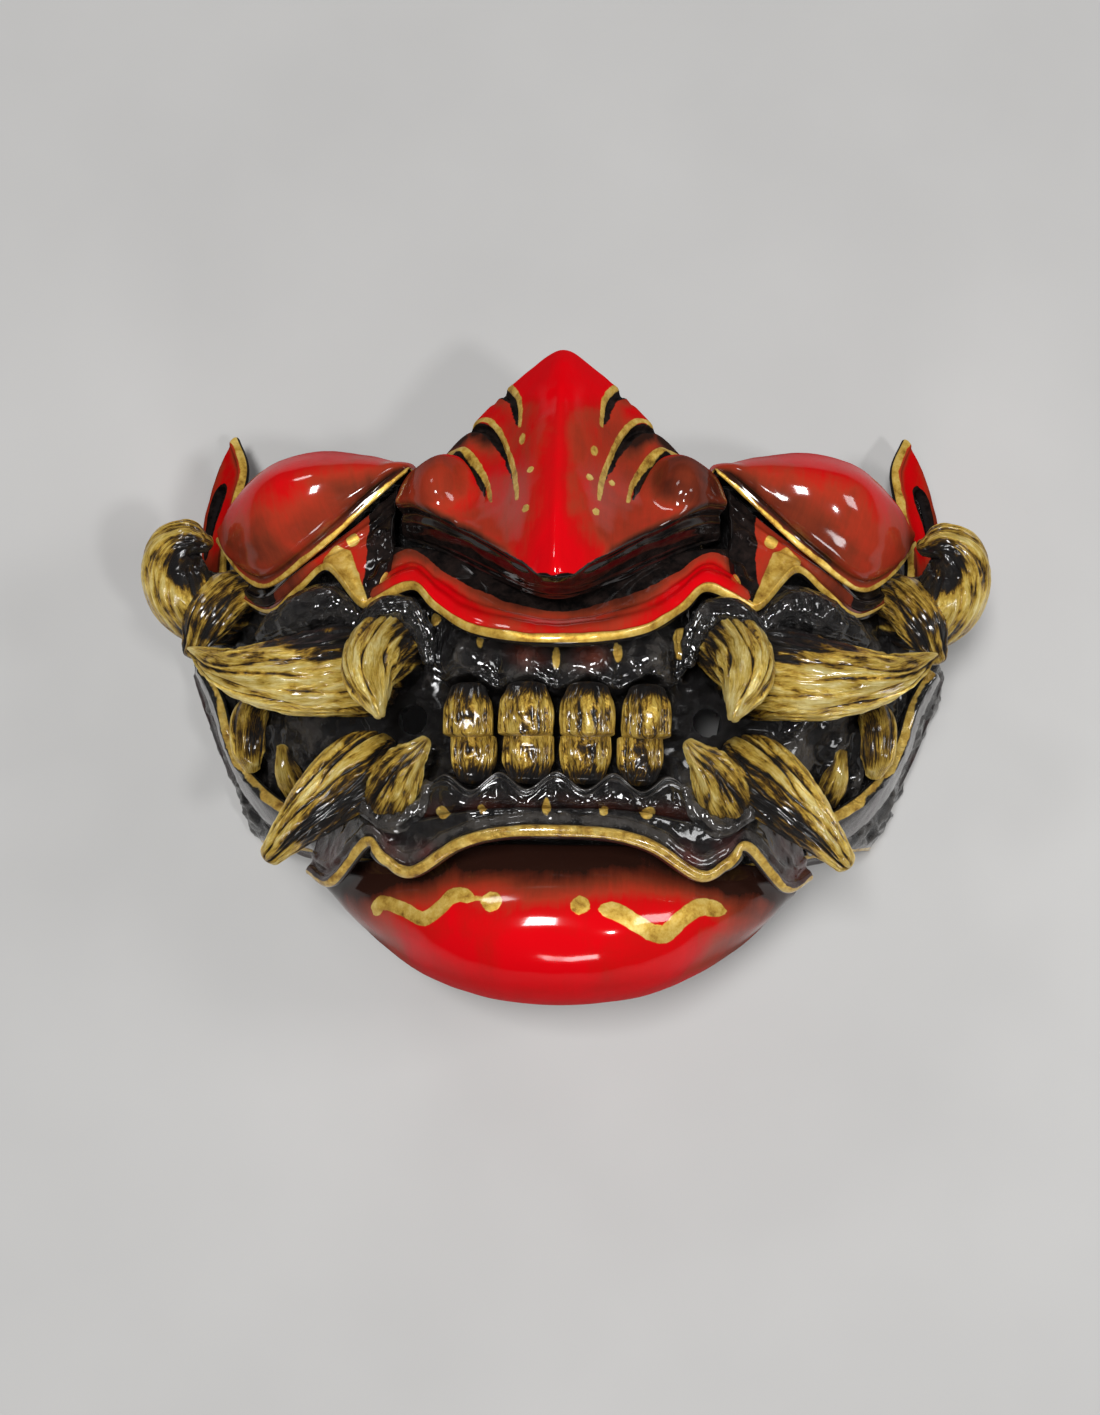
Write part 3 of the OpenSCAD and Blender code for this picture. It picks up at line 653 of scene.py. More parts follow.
def lip_relief(sheet):
    rise = 0.9 * hump(sheet.t1, 4.4, 2.4) - 0.35 * hump(sheet.t1, 1.9, 0.7)
    rise += 0.35 * hump(sheet.t1, 8.3, 1.1) - 0.4 * hump(sheet.t1, 10, 0.9)
    return rise + 0.25 * noise(sheet.points, 5, 5) + 0.1 * noise(sheet.points, 2, 25)


def lip_paint(sheet):
    x = np.abs(sheet.x)
    edge = sheet.t1 + 0.9 * noise(sheet.points, 6, 6)
    shade = 0.38 - 0.26 * smooth(14, 26, x) * smooth(42, 36, x) + 0.25 * smooth(38, 44, x)
    # Darker, then black, towards the top, where the lip runs in under the nose. The black reaches further down
    # under the nose tip. This is partly black paint and partly painted shadow of the nose.
    shade += 0.45 * smooth(7.5, 13, edge)
    black = 13.5 - 1.5 * hump(x, 0, 12) - edge
    return {"gold_mm": sheet.t1 - 1.25 - 0.3 * noise(sheet.points, 4, 26), "black_mm": black, "shade": shade}


CHEEK = [
    [[34, 50, 53], [47, 53, 45], [60, 55, 39], [72, 53.5, 33], [81, 48.5, 27], [87.5, 41, 23]],
    [[35, 50, 60], [47, 53.5, 59], [60, 55.5, 57], [72, 54, 51], [81, 48.5, 42], [88, 40.5, 32]],
    [[36, 49.5, 66], [47, 49, 69], [60, 47.5, 71], [72, 45.5, 67.5], [82, 42, 56], [88.5, 39, 39]],
    [[36.5, 48.5, 67], [47, 43, 70], [60, 37, 71], [72, 32, 67], [82, 32.5, 56], [88.5, 37.5, 42]],
    [[37, 47.5, 66.5], [47, 38, 66.5], [59, 28, 63], [72, 21.2, 56], [81, 27, 48], [88, 36, 42]],
]


def cheek_relief(sheet):
    rise = -0.7 * hump(sheet.t1, 3.2, 1.1) + 0.5 * hump(sheet.t1, 6.5, 2.2)
    return rise + 0.25 * noise(sheet.points, 12, 7) + 0.06 * noise(sheet.points, 3, 8)


def cheek_paint(sheet):
    shade = 0.04 + 0.54 * smooth(0.36, 0.80, sheet.t) + 0.22 * smooth(0.55, 0.05, sheet.s)
    # Darker in the groove just inside the gold edge: painted shade.
    shade += 0.25 * hump(sheet.t1, 3.2, 1.0)
    wavy = sheet.t1 - 2.15 - 0.35 * noise(sheet.points, 5, 9)
    matte = 0.85 * np.maximum(smooth(0.52, 0.25, sheet.t), smooth(0.62, 0.9, sheet.s))
    return {"gold_mm": wavy, "black_mm": np.full(wavy.shape, 9.0), "shade": shade, "matte": matte}


UNDER_CHEEK = [
    [[40, 45, 62], [46, 39, 62.5], [54, 33, 61], [64, 27, 57], [73, 23, 51], [82, 28, 43]],
    [[40.5, 37, 64.5], [46, 31, 65.5], [55, 28.5, 63.5], [64, 24.5, 59.5], [73, 19.5, 53], [82.5, 25.5, 44]],
    [[40, 29, 67.5], [45.8, 22.5, 68.5], [55.5, 25.8, 66], [63, 22, 61.5], [72, 17, 55], [83, 23.5, 45]],
    [[41, 22, 70.5], [45.8, 14, 72.5], [55.5, 24.3, 67.5],
     [63, 20.3, 62.5], [71, 15.8, 56.5], [83, 22.5, 45.5]],
]
GOLD_PATCH = [(50.2, 28.4), (53.5, 30), (57, 27), (56, 24), (51, 19), (46.5, 13.8),
              (44.3, 14.2), (46.6, 19.5)]


def under_cheek_relief(sheet):
    rise = 0.55 * hump(sheet.t0, 4.2, 1.1) - 0.4 * hump(sheet.t0, 6.2, 0.9)
    rise += 0.5 * hump(inside_outline(sheet.points, GOLD_PATCH), -1, 1.2)
    return rise + wet_flesh(sheet.points, 0.9) * smooth(48, 44, sheet.x) + 0.14 * noise(sheet.points, 3, 10)


def under_cheek_paint(sheet):
    gold = np.minimum(inside_outline(sheet.points, GOLD_PATCH), spot(sheet.points, 50, 31.4, 1.5, 1.6))
    gold = np.minimum(gold, sheet.t1 - 0.75)
    black = np.maximum(sheet.x - 46.4 + 0.5 * noise(sheet.points, 3, 28), 0.9 - sheet.t1)
    black = np.minimum(black, np.maximum(70 - sheet.x, 2.2 - sheet.t1))
    shade = 0.45 + 0.35 * smooth(58, 66, sheet.x)
    return {"gold_mm": gold, "black_mm": black, "shade": shade}


WING = [
    [[89, 27, 33], [90, 34, 31], [89.5, 42, 27.5], [88.8, 53, 22.5], [88.5, 63, 18.5], [92.5, 72.5, 14]],
    [[93, 27, 24], [94, 34, 21.5], [94, 42, 19], [93, 53, 15.5], [93, 62.5, 12.5], [94, 70.5, 11.5]],
    [[97, 27, 14], [98, 34, 12], [98.5, 42, 10.5], [98.5, 52, 8.5], [97.5, 61, 7], [95.5, 68.5, 9]],
    [[100.5, 27, 4], [101.5, 34, 3], [102, 42, 2.5], [102, 51, 2], [100.5, 58.5, 2.5], [97, 66, 6.5]],
]

# ---------- black shell, gums and lower lip ----------

SHELL_STATIONS = [
    [-50, -38, 83, 60], [-36, -27, 89, 64], [-20, -14, 94, 66], [-4, 2, 101, 67],
    [14, 14, 102, 66], [32, 25, 97, 64], [46, 34, 94, 60], [56, 40, 92, 56],
]
SHELL_WALL = 3
SHELL_ROUNDNESS = 1.8
NOSE_OPENING = [(0, 50), (13, 46), (21, 38), (22, 28), (12, 19), (0, 18)]
BREATH_HOLE = (35.5, -11.3, 3.6)


def shell_points(angle, t, depth):
    """Points of the arched shell: angle from -90 to 90 degrees across it, t from brow to jaw."""
    station = spline(SHELL_STATIONS, 1 - t)[:, None, :]
    a = np.radians(angle)[None, :]
    power = 2 / SHELL_ROUNDNESS
    x = (station[..., 2] - depth) * np.sign(a) * np.abs(np.sin(a)) ** power
    z = (station[..., 3] - depth) * np.maximum(np.cos(a), 0) ** power
    y = station[..., 0] + (station[..., 1] - station[..., 0]) * np.abs(np.sin(a)) ** 1.6
    return np.stack([x, y + 0 * x, z], -1)


def polar_outline(corners, middle):
    """A closed outline of corners as its distance from middle at any angle, with the corners rounded off."""
    turn = np.linspace(-np.pi, np.pi, 721)
    corners = np.array(corners) - middle
    reach = []
    for a in turn:
        ray = np.array([math.cos(a), math.sin(a)])
        best = 0
        for p, q in zip(corners, np.roll(corners, -1, 0)):
            side = q - p
            cross = ray[0] * side[1] - ray[1] * side[0]
            if abs(cross) > 1e-9:
                far = (p[0] * side[1] - p[1] * side[0]) / cross
                u = (p[0] * ray[1] - p[1] * ray[0]) / cross
                if far > 0 and -1e-9 <= u <= 1 + 1e-9:
                    best = max(best, far)
        reach.append(best)
    reach = np.convolve(np.pad(reach, 12, "wrap"), np.ones(25) / 25, "valid")
    return lambda angle: np.interp(angle, turn, reach)


def face_shell():
    angle, t = np.linspace(-90, 90, 301), np.linspace(0, 1, 151)
    front, back = shell_points(angle, t, 0), shell_points(angle, t, SHELL_WALL)
    outline = [(x * sign, y) for sign in (1, -1) for x, y in NOSE_OPENING[::sign]]
    breath_x, breath_y, breath_r = BREATH_HOLE
    openings = [((0, 35), polar_outline(outline, (0, 35)))]
    openings += [((x, breath_y), lambda a: np.full(a.shape, breath_r)) for x in (breath_x, -breath_x)]
    hole = np.zeros((150, 300), bool)
    for centre, target in openings:
        dx, dy = front[..., 0] - centre[0], front[..., 1] - centre[1]
        gone, rim = hole_in(np.hypot(dx, dy) < target(np.arctan2(dy, dx)))
        hole |= gone
        for grid in (front, back):
            gx, gy = grid[..., 0] - centre[0], grid[..., 1] - centre[1]
            gap = np.maximum(np.hypot(gx, gy), 1e-6)
            scale = np.where(rim, target(np.arctan2(gy, gx)) / gap, 1)
            grid[..., 0] = centre[0] + gx * scale
            grid[..., 1] = centre[1] + gy * scale
    sheet = Sheet(front, angle, t)
    flesh = smooth(24, 34, np.abs(sheet.x)) * smooth(26, 16, sheet.y)
    folds = 1 - np.abs(noise(front * (1, 0.6, 1), 9, 11)) * 2
    rise = flesh * (1.1 * folds - 0.5) + (0.15 + 0.85 * flesh) * wet_flesh(front, 2.0)
    edge = np.minimum.reduce([sheet.s0, sheet.s1, sheet.t0, sheet.t1])
    from_hole = np.hypot(np.abs(sheet.x) - breath_x, sheet.y - breath_y)
    rise = rise * smooth(0.5, 3, edge) * smooth(4.2, 5.8, from_hole)
    front = front + unit(front - back) * rise[..., None]
    # How high the folds stand, for the painted sheen that the black material puts on them.
    height = flesh * np.clip(folds, 0, 1) + wet_flesh(front, 1.0)
    rim_gold = np.minimum.reduce([sheet.t1, sheet.s0, sheet.s1]) - 0.9
    behind_teeth = smooth(28, 24, np.abs(sheet.x)) * smooth(12, 6, sheet.y)
    matte = 0.75 * np.maximum(smooth(12, 7, from_hole), behind_teeth)
    # No grey on the ridges near the breath hole, and no coat there (matte above), so that a wider patch round it
    # stays black: painted shade round the opening.
    height = height * smooth(5, 11, from_hole)
    fields = {"gold_mm": rim_gold, "height": height, "tint": 0 * height, "matte": matte,
              "grain": sheet.grain()}
    return shell_solid(front, back, fields, hole)


def shell_solid(front, back, fields, hole):
    """Like closed(), but the rim is a flat band between the two grids."""
    rows, cols = front.shape[:2]
    outer = np.arange(rows * cols).reshape(rows, cols)
    inner = outer + rows * cols
    keep = ~hole
    faces = [quads(outer)[keep.ravel()], quads(inner)[keep.ravel()][:, ::-1]]
    walls = []
    padded = np.pad(keep, 1)
    for axis in (0, 1):
        change = np.diff(padded.astype(int), axis=axis)
        for i, j in np.argwhere(change != 0):
            if axis == 0:
                a, b = (i, j - 1), (i, j)
            else:
                a, b = (i - 1, j), (i, j)
            wall = [outer[a], outer[b], inner[b], inner[a]]
            forward = (change[i, j] > 0) == (axis == 0)
            walls.append(wall[::-1] if forward else wall)
    verts = np.concatenate([front.reshape(-1, 3), back.reshape(-1, 3)])
    both = {key: np.concatenate([v.reshape(-1, *v.shape[2:])] * 2) for key, v in fields.items()}
    both["inside"] = np.repeat([0.0, 1.0], rows * cols)
    return verts, np.concatenate([*faces, np.array(walls)]), both


UPPER_GUM = [
    [[0, 16, 73], [6.8, 16.5, 72.6], [13.4, 17.2, 71.8], [20, 18.2, 70.5], [26, 19, 68.5], [31, 20, 66.5]],
    [[0, 8, 78], [6.8, 8.5, 77.6], [13.4, 9.2, 76.8], [20, 10.5, 75], [26, 11.8, 73], [31, 13, 71]],
    [[0, 0, 80], [6.8, 0.3, 80.6], [13.4, 0.6, 79.3], [20, 1.3, 78.8], [26, 3, 75.5], [30.5, 5, 73]],
    [[0, -7.4, 79.5], [6.8, -4.6, 80], [13.4, -7.2, 78.6], [20, -4, 77.6], [25.8, -5.6, 75], [29.5, -1, 73]]
]
LOWER_GUM = [
    [[0, -24.6, 79.5], [6.4, -28.2, 80], [12.6, -24.8, 79],
     [18.8, -28.4, 78.4], [24.6, -25.2, 76.6], [29, -27.5, 75]],
    [[0, -30, 80.5], [6.4, -31.2, 80.4], [12.6, -30.2, 80],
     [18.8, -31.4, 79], [24.6, -31, 77.4], [30, -31.5, 75]],
    [[0, -34.5, 79.5], [6.4, -34.5, 79.3], [12.6, -34.5, 79],
     [18.8, -34.8, 78.2], [24.6, -35.4, 76.5], [30.5, -36, 74]]
]
LOWER_LIP = [
    [[0, -33.5, 79.5], [12, -33.5, 79], [22, -34.5, 77.5], [31, -36, 74], [38, -37, 70.5], [44, -34, 66],
     [52, -36, 58], [58, -38, 51]],
    [[0, -36, 80.5], [12, -36.5, 80], [22, -38, 78], [31.5, -42, 74.5], [38, -41, 72], [43.5, -37.5, 69],
     [52.5, -43, 60], [59, -43, 52.5]],
    [[0, -39.2, 84], [12, -39.6, 83.5], [22, -42.5, 81.5],
     [32.5, -48.7, 77.5], [38, -46, 75.5], [43.5, -41.5, 73],
     [53.5, -50.6, 62], [60.5, -47.5, 54]],
]
GUM_DEPTH = 8
UPPER_PITCH, LOWER_PITCH = 13.4, 12.8
UPPER_SPOTS = [(-28.4, 10, 1.5, 1.7), (-17.4, 3.8, 0.8, 1.6), (-0.3, 0.6, 0.9, 2.5), (13.3, 1.8, 1.0, 2.1),
               (27.6, 4.6, 2.1, 3.6)]
LOWER_SPOTS = [(-25.1, -34.6, 1.5, 1.8), (-16.2, -34, 0.9, 1.4), (-2.0, -33.6, 0.9, 2.3),
               (10.6, -34.2, 1.0, 1.4), (20.2, -34.3, 1.5, 1.7)]


def nearest_spot(points, spots):
    return np.minimum.reduce([spot(points, *mark) for mark in spots])


def wet_flesh(points, amount):
    """Folds and pits of wet gum, in millimetres."""
    ridges = 1 - 2 * np.abs(noise(points + 1.5 * noise(points, 5, 51)[..., None], 4.5, 52))
    return amount * (0.5 * ridges + 0.3 * noise(points, 2.0, 53) + 0.16 * noise(points, 0.9, 54))


def upper_gum():
    def cup(x):
        return np.abs(np.sin(np.pi * x / UPPER_PITCH))

    def relief(sheet):
        rise = 1.9 * cup(sheet.x) ** 0.55 * smooth(0.25, 0.7, sheet.t) - 0.5
        rise += 0.7 * hump(sheet.t1, 1.5, 0.9) - 0.5 * hump(sheet.t1, 3.2, 0.8)
        return rise + wet_flesh(sheet.points, 0.9)

    def paint(sheet):
        tint = cup(sheet.x) ** 2 * smooth(17, 12, np.abs(sheet.x + 1))
        tint = tint * smooth(-3.5, 0.5, sheet.y) * smooth(9, 4, sheet.y)
        # How high the bulges stand, for the painted sheen on the black.
        high = 0.5 * cup(sheet.x) + wet_flesh(sheet.points, 1.2)
        return {"gold_mm": nearest_spot(sheet.points, UPPER_SPOTS), "height": high, "tint": tint}

    return plate(both_sides(UPPER_GUM), GUM_DEPTH, 260, 76, relief, paint)


def lower_gum():
    def relief(sheet):
        rise = 0.95 * hump(sheet.t0, 1.1, 0.5) + 0.6 * hump(sheet.t0, 2.6, 0.5)
        rise -= 0.5 * hump(sheet.t0, 1.85, 0.3)
        cup = np.abs(np.sin(np.pi * sheet.x / LOWER_PITCH)) ** 0.7
        rise += 0.9 * cup * smooth(3, 5, sheet.t0)
        return rise + wet_flesh(sheet.points, 0.55) * smooth(2.5, 4, sheet.t0)

    def paint(sheet):
        # How high the scallop ridges stand, for the painted sheen on the black.
        high = 1.5 * hump(sheet.t0, 1.1, 0.5) + 0.9 * hump(sheet.t0, 2.6, 0.45) + wet_flesh(sheet.points, 0.7)
        tint = 0.5 * smooth(0.4, 0.9, sheet.t)
        return {"gold_mm": nearest_spot(sheet.points, LOWER_SPOTS), "height": high, "tint": tint}

    return plate(both_sides(LOWER_GUM), GUM_DEPTH, 280, 60, relief, paint)


def lower_lip():
    def relief(sheet):
        cup = np.abs(np.sin(np.pi * sheet.x / LOWER_PITCH)) * smooth(30, 24, np.abs(sheet.x))
        rise = 0.5 * cup * smooth(0.45, 0.1, sheet.t) + 0.12 * noise(sheet.points, 3, 16)
        rise += 0.4 * hump(sheet.t1, 5, 0.8) - 0.55 * hump(sheet.t1, 3.3, 0.8)
        return rise + wet_flesh(sheet.points, 0.6) * smooth(2.2, 3.6, sheet.t1)

    def paint(sheet):
        x = np.abs(sheet.x)
        gold = sheet.t1 - 2.1 + 1.2 * smooth(40, 46, x) + 0.3 * noise(sheet.points, 4, 27)
        gold = np.minimum(gold, nearest_spot(sheet.points, LOWER_SPOTS))
        tint = 0.9 * smooth(24, 30, x) * smooth(44, 38, x) * hump(sheet.t1, 4.5, 2.5)
        tint += 0.7 * smooth(46, 52, x)
        # How high the roll stands, for the painted sheen on the black.
        high = 0.9 * hump(sheet.t1, 4.8, 1.4) + 0.3 + wet_flesh(sheet.points, 1.0)
        return {"gold_mm": gold, "height": high, "tint": tint}

    return plate(both_sides(LOWER_LIP), 2.6, 360, 56, relief, paint, roll=(2.2, 0.35))


JAW_SIDE = [
    [[60, -38, 50], [67, -33.5, 46.5], [75, -28, 42],
     [82, -21, 36], [87, -12, 31], [90, -3, 29.5], [95.5, 6.5, 27]],
    [[61.5, -42, 40], [69.5, -38.5, 34], [78, -32.5, 28],
     [85, -24.5, 22], [90.3, -13, 21], [93.5, -4, 20], [99, 7, 18.5]],
    [[62, -43.5, 25], [69, -41.5, 20], [77.5, -36, 14],
     [86, -26.5, 10], [92.5, -14, 10], [96.5, -4.5, 9.5], [101, 7.5, 9]]
]


def jaw_side():
    def relief(sheet):
        rise = 0.9 * hump(sheet.t0, 1.2, 1.1) - 0.4 * hump(sheet.t0, 3.4, 1.2)
        rise += 0.6 * hump(sheet.t1, 1.2, 1.0)
        return rise + wet_flesh(sheet.points, 0.7) * (1 - 0.75 * smooth(3, 8, sheet.t0))

    def paint(sheet):
        worn = 0.5 * noise(sheet.points, 5, 19)
        gold = np.minimum(sheet.t0 - 0.8 + 1.6 * worn, sheet.t1 - 0.6 + worn)
        # height: the rim ridge, for the painted sheen on the black.
        return {"gold_mm": gold, "height": 0.6 * hump(sheet.t0, 1.5, 1.5),
                "tint": 0.3 * smooth(2, 9, sheet.t0)}

    return plate(JAW_SIDE, 2.4, 140, 56, relief, paint, roll=(1.6, 0.5))


def temple_wing():
    """Cut for the strap by leaving quads out of its grid and drawing the rest up to the slot's outline."""
    s, t = spaced(130), spaced(110)
    points = net_points(WING, s, t)
    sheet = Sheet(points, s, t)
    half_t = 1.3
    nearest = np.minimum.reduce([sheet.s0, sheet.s1, sheet.t0, sheet.t1])
    full = np.sqrt(1 - (1 - np.clip(nearest / half_t, 0, 1)) ** 2)
    middle = points - sheet.normal * half_t
    rise = 0.5 * hump(sheet.t0, 1.4, 1.0) + 0.16 * noise(points, 4, 20)
    front = middle + sheet.normal * ((half_t + rise) * full)[..., None]
    back = middle - sheet.normal * (half_t * full)[..., None]
    centre_y, centre_z, straight, radius = 49.5, 10, 7, 3
    dy = np.maximum(np.abs(points[..., 1] - centre_y) - straight, 0)
    dz = points[..., 2] - centre_z
    gap = np.hypot(dy, dz) - radius
    hole, rim = hole_in(gap < 0)
    core = np.stack([np.zeros_like(dy), np.clip(points[..., 1], centre_y - straight, centre_y + straight),
                     np.full(dy.shape, centre_z)], -1)
    for grid in (front, back):
        offset = (grid - core) * (0, 1, 1)
        moved = core * (0, 1, 1) + unit(offset) * radius + grid * (1, 0, 0)
        grid[rim] = moved[rim]
    gold = np.minimum(sheet.t0 - 0.9 + 0.5 * noise(points, 5, 29), sheet.s1 - 0.5)
    shade = 0.16 + 0.35 * smooth(0.3, 0.9, sheet.t) + 0.4 * smooth(0.4, 0.1, sheet.s)
    shade += 0.35 * hump(sheet.t0, 2, 2)
    fields = {"gold_mm": gold, "black_mm": gap - 0.8, "shade": shade, "matte": np.full(gap.shape, 0.85),
              "grain": sheet.grain()}
    return closed(front, back, fields, hole)


# ---------- teeth, tusks and horns ----------


def grooved(seed, count, depth, width, wander=0.3):
    """Relief of a tusk: count grooves along it, up to depth deep and about width wide, among finer fibres."""
    rng = random.Random(seed)
    lines = [(rng.uniform(0, 2 * np.pi), rng.uniform(0.25, 1) ** 2 * depth, rng.uniform(0.7, 1.6) * width,
              rng.uniform(-0.1, 0.6), rng.uniform(0.2, 0.75), rng.uniform(0, 6)) for _ in range(count)]

    def relief(angle, along, far, radius):
        rise = np.zeros_like(angle)
        for at, deep, wide, begin, long, phase in lines:
            drift = at + wander * np.sin(3.1 * along + phase) + 0.09 * np.sin(12 * along + 2 * phase)
            apart = np.abs((angle - drift + np.pi) % (2 * np.pi) - np.pi) * radius
            end = begin + long
            fade = smooth(begin - 0.05, begin + 0.08, along) * smooth(end + 0.1, end - 0.05, along)
            rise = np.minimum(rise, -deep * hump(apart, 0, wide) * fade)
        rope = np.stack([np.cos(angle) * radius, np.sin(angle) * radius, far * 0.13], -1)
        rope = rope + 0.8 * noise(rope, 3, seed + 2)[..., None]
        ridged = 1 - 2 * np.abs(noise(rope, 1.7, seed))
        return rise + 0.34 * ridged + 0.2 * noise(rope, 0.7, seed + 1) + 0.3 * noise(rope, 5, seed + 3)

    return relief


def covered(shape, root, middle, tip):
    """Adds how much gold there is at the root, the middle and the tip to a bar's fields."""
    verts, faces, fields, caps = shape
    fields = dict(fields, cover=spline([root, middle, (middle + tip) / 2, tip], fields["along"]))
    return verts, faces, fields, caps


def shaded(shape, amount, side):
    """Takes gold away on one side of a bar; side(x, y, z) is 1 where it is darkest."""
    verts, faces, fields, caps = shape
    fields = dict(fields, cover=fields["cover"] - amount * side(*verts.T))
    return verts, faces, fields, caps


def as_black(shape, height=0.4, tint=0.0):
    """Gives a bar the fields that the black materials read."""
    verts, faces, fields, caps = shape
    flat = np.ones(len(verts))
    # top sets how much grey the black material paints on the groove crests as sheen.
    top = height * smooth(-0.6, 0.4, fields["groove"])
    fields = dict(fields, gold_mm=9 * flat, height=top, tint=tint * flat, inside=0 * flat)
    return verts, faces, fields, caps


INCISOR_T = 8


def incisor(index, y_root, y_tip, width, front_z, seed):
    """A block tooth: arched at the root, widest near its edge, and ribbed from root to edge."""
    outer = index in (1, 4)
    x = (-1 if index < 3 else 1) * (1.58 if outer else 0.54) * width
    half_w = (0.9 if outer else 1) * width / 2
    z = (front_z - 2.5 if outer else front_z) - INCISOR_T / 2
    d = INCISOR_T / 2
    path = [[x, y_root, z - 0.5], [x, (y_root + y_tip) / 2, z], [x, y_tip, z]]
    sizes = [[half_w * 0.74, d * 0.8], [half_w * 0.95, d * 0.96], [half_w, d], [half_w * 0.98, d * 0.86]]
    rng = random.Random(seed)
    ribs = [(rng.uniform(-1, 1), rng.uniform(0.1, 0.38), rng.uniform(0.12, 0.26), rng.uniform(-0.2, 0.7),
             rng.uniform(0.3, 0.9)) for _ in range(34)]

    def relief(angle, along, far, radius):
        side = np.cos(angle) * radius
        rise = 0
        for at, deep, wide, begin, long in ribs:
            end = begin + long
            part = smooth(begin - 0.05, begin + 0.05, along) * smooth(end + 0.05, end - 0.05, along)
            rise = rise - deep * hump(side, at * half_w + 0.2 * np.sin(5 * along + at * 9), wide) * part
        fibre = np.stack([side * 0.6, np.sin(angle), far * 0.16], -1)
        return rise * smooth(0.1, 0.6, np.abs(np.sin(angle))) + 0.22 * noise(fibre, 0.6, seed)

    shape = bar(path, sizes, relief, 128, 60, squareness=3.4, tip=0.3, root=0.7, carried=False)
    return covered(shape, -0.16, 0.08, 0.12)


def molar(path, sizes, seed):
    shape = bar(path, sizes, squareness=2.3, sides=80, rings=60, relief=grooved(seed, 12, 0.6, 0.4), tip=0.6)
    return covered(shape, -0.12, 0.0, 0.02)


UPPER_TUSK_R, LOWER_TUSK_R, HORN_R = 11.5, 9, 10


def scaled(radius, sizes):
    return [[radius * a, radius * b] for a, b in sizes]


def tusks():
    r = UPPER_TUSK_R
    upper = bar([[45.5, 1, 56], [50.5, 0, 64], [62, -2.5, 69.5], [76, -1.8, 70], [88, 4, 65.5]],
                scaled(r, [(1, 0.92), (1, 1), (0.82, 0.82), (0.5, 0.5), (0.1, 0.1)]), sides=200, rings=170,
                relief=grooved(3, 54, 1.25, 0.33))
    upper = shaded(covered(upper, -0.34, 0.05, 0.18), 0.38,
                   lambda x, y, z: smooth(-2, 6, y) * smooth(80, 62, x))
    add_pair("upper_tusk", upper, "tusk_gold")
    r = LOWER_TUSK_R
    lower = bar([[44.5, -22, 54], [46.5, -24, 65], [55, -33, 71.5], [65.5, -44.8, 72]],
                scaled(r, [(0.9, 0.9), (1, 0.98), (0.8, 0.8), (0.33, 0.33)]), sides=180, rings=140,
                relief=grooved(5, 46, 1.2, 0.33))
    lower = shaded(covered(lower, -0.20, 0.10, 0.20), 0.36,
                   lambda x, y, z: smooth(-3, -9, y + 0.95 * (x - 45) + 17) * smooth(62, 55, x))
    add_pair("lower_tusk", lower, "tusk_gold")
    r = HORN_R
    horn = bar([[86, 22, 28], [92, 20, 37], [95.9, 22.8, 45.5], [96.6, 30, 52],
                [92.3, 33.9, 55.5], [87.5, 33, 55]],
               scaled(r, [(0.9, 0.9), (1, 0.95), (0.9, 0.88), (0.75, 0.72), (0.52, 0.52), (0.22, 0.22)]),
               up=(0.3, -1, 0), sides=170, rings=140, relief=grooved(7, 46, 1.0, 0.32))
    hollow = Vector((90.5, 27, 54))
    horn = shaded(covered(horn, -0.3, 0.04, 0.06), 0.42,
                  lambda x, y, z: smooth(8, 4, np.hypot(x - hollow.x, y - hollow.y)))
    add_pair("side_horn", horn, "tusk_gold")
    spur = bar([[79.5, 25.5, 37], [84, 21.5, 45.5], [88.3, 14.5, 49], [92, 6, 47.5]],
               [[5, 4.5], [6.2, 5.2], [6, 5], [2.6, 2.2]],
               sides=130, rings=90, relief=grooved(9, 36, 0.6, 0.26))
    add_pair("horn_spur", covered(spur, -0.2, -0.06, -0.12), "tusk_gold")


def fangs():
    upper = bar([[36, 8, 62], [39.5, 4.5, 73], [42.5, -4, 82], [39, -14, 87.5]],
                [[6.5, 6.5], [8, 7.2], [6.4, 6], [1.6, 1.6]],
                sides=150, rings=120, relief=grooved(11, 34, 1.0, 0.3))
    upper = shaded(covered(upper, -0.12, 0.16, 0.24), 0.24,
                   lambda x, y, z: smooth(39, 34, x) * smooth(-9, -4, y))
    add_pair("upper_fang", upper, "tooth_gold")
    lower = bar([[38, -33, 58], [38.5, -30.5, 68.5], [35, -24, 75], [29.5, -18.5, 79]],
                [[6.5, 6], [7, 6.5], [5.2, 5.2], [1.4, 1.4]],
                sides=140, rings=100, relief=grooved(13, 30, 0.9, 0.3))
    add_pair("lower_fang", covered(lower, -0.16, 0.04, 0.16), "tooth_gold")


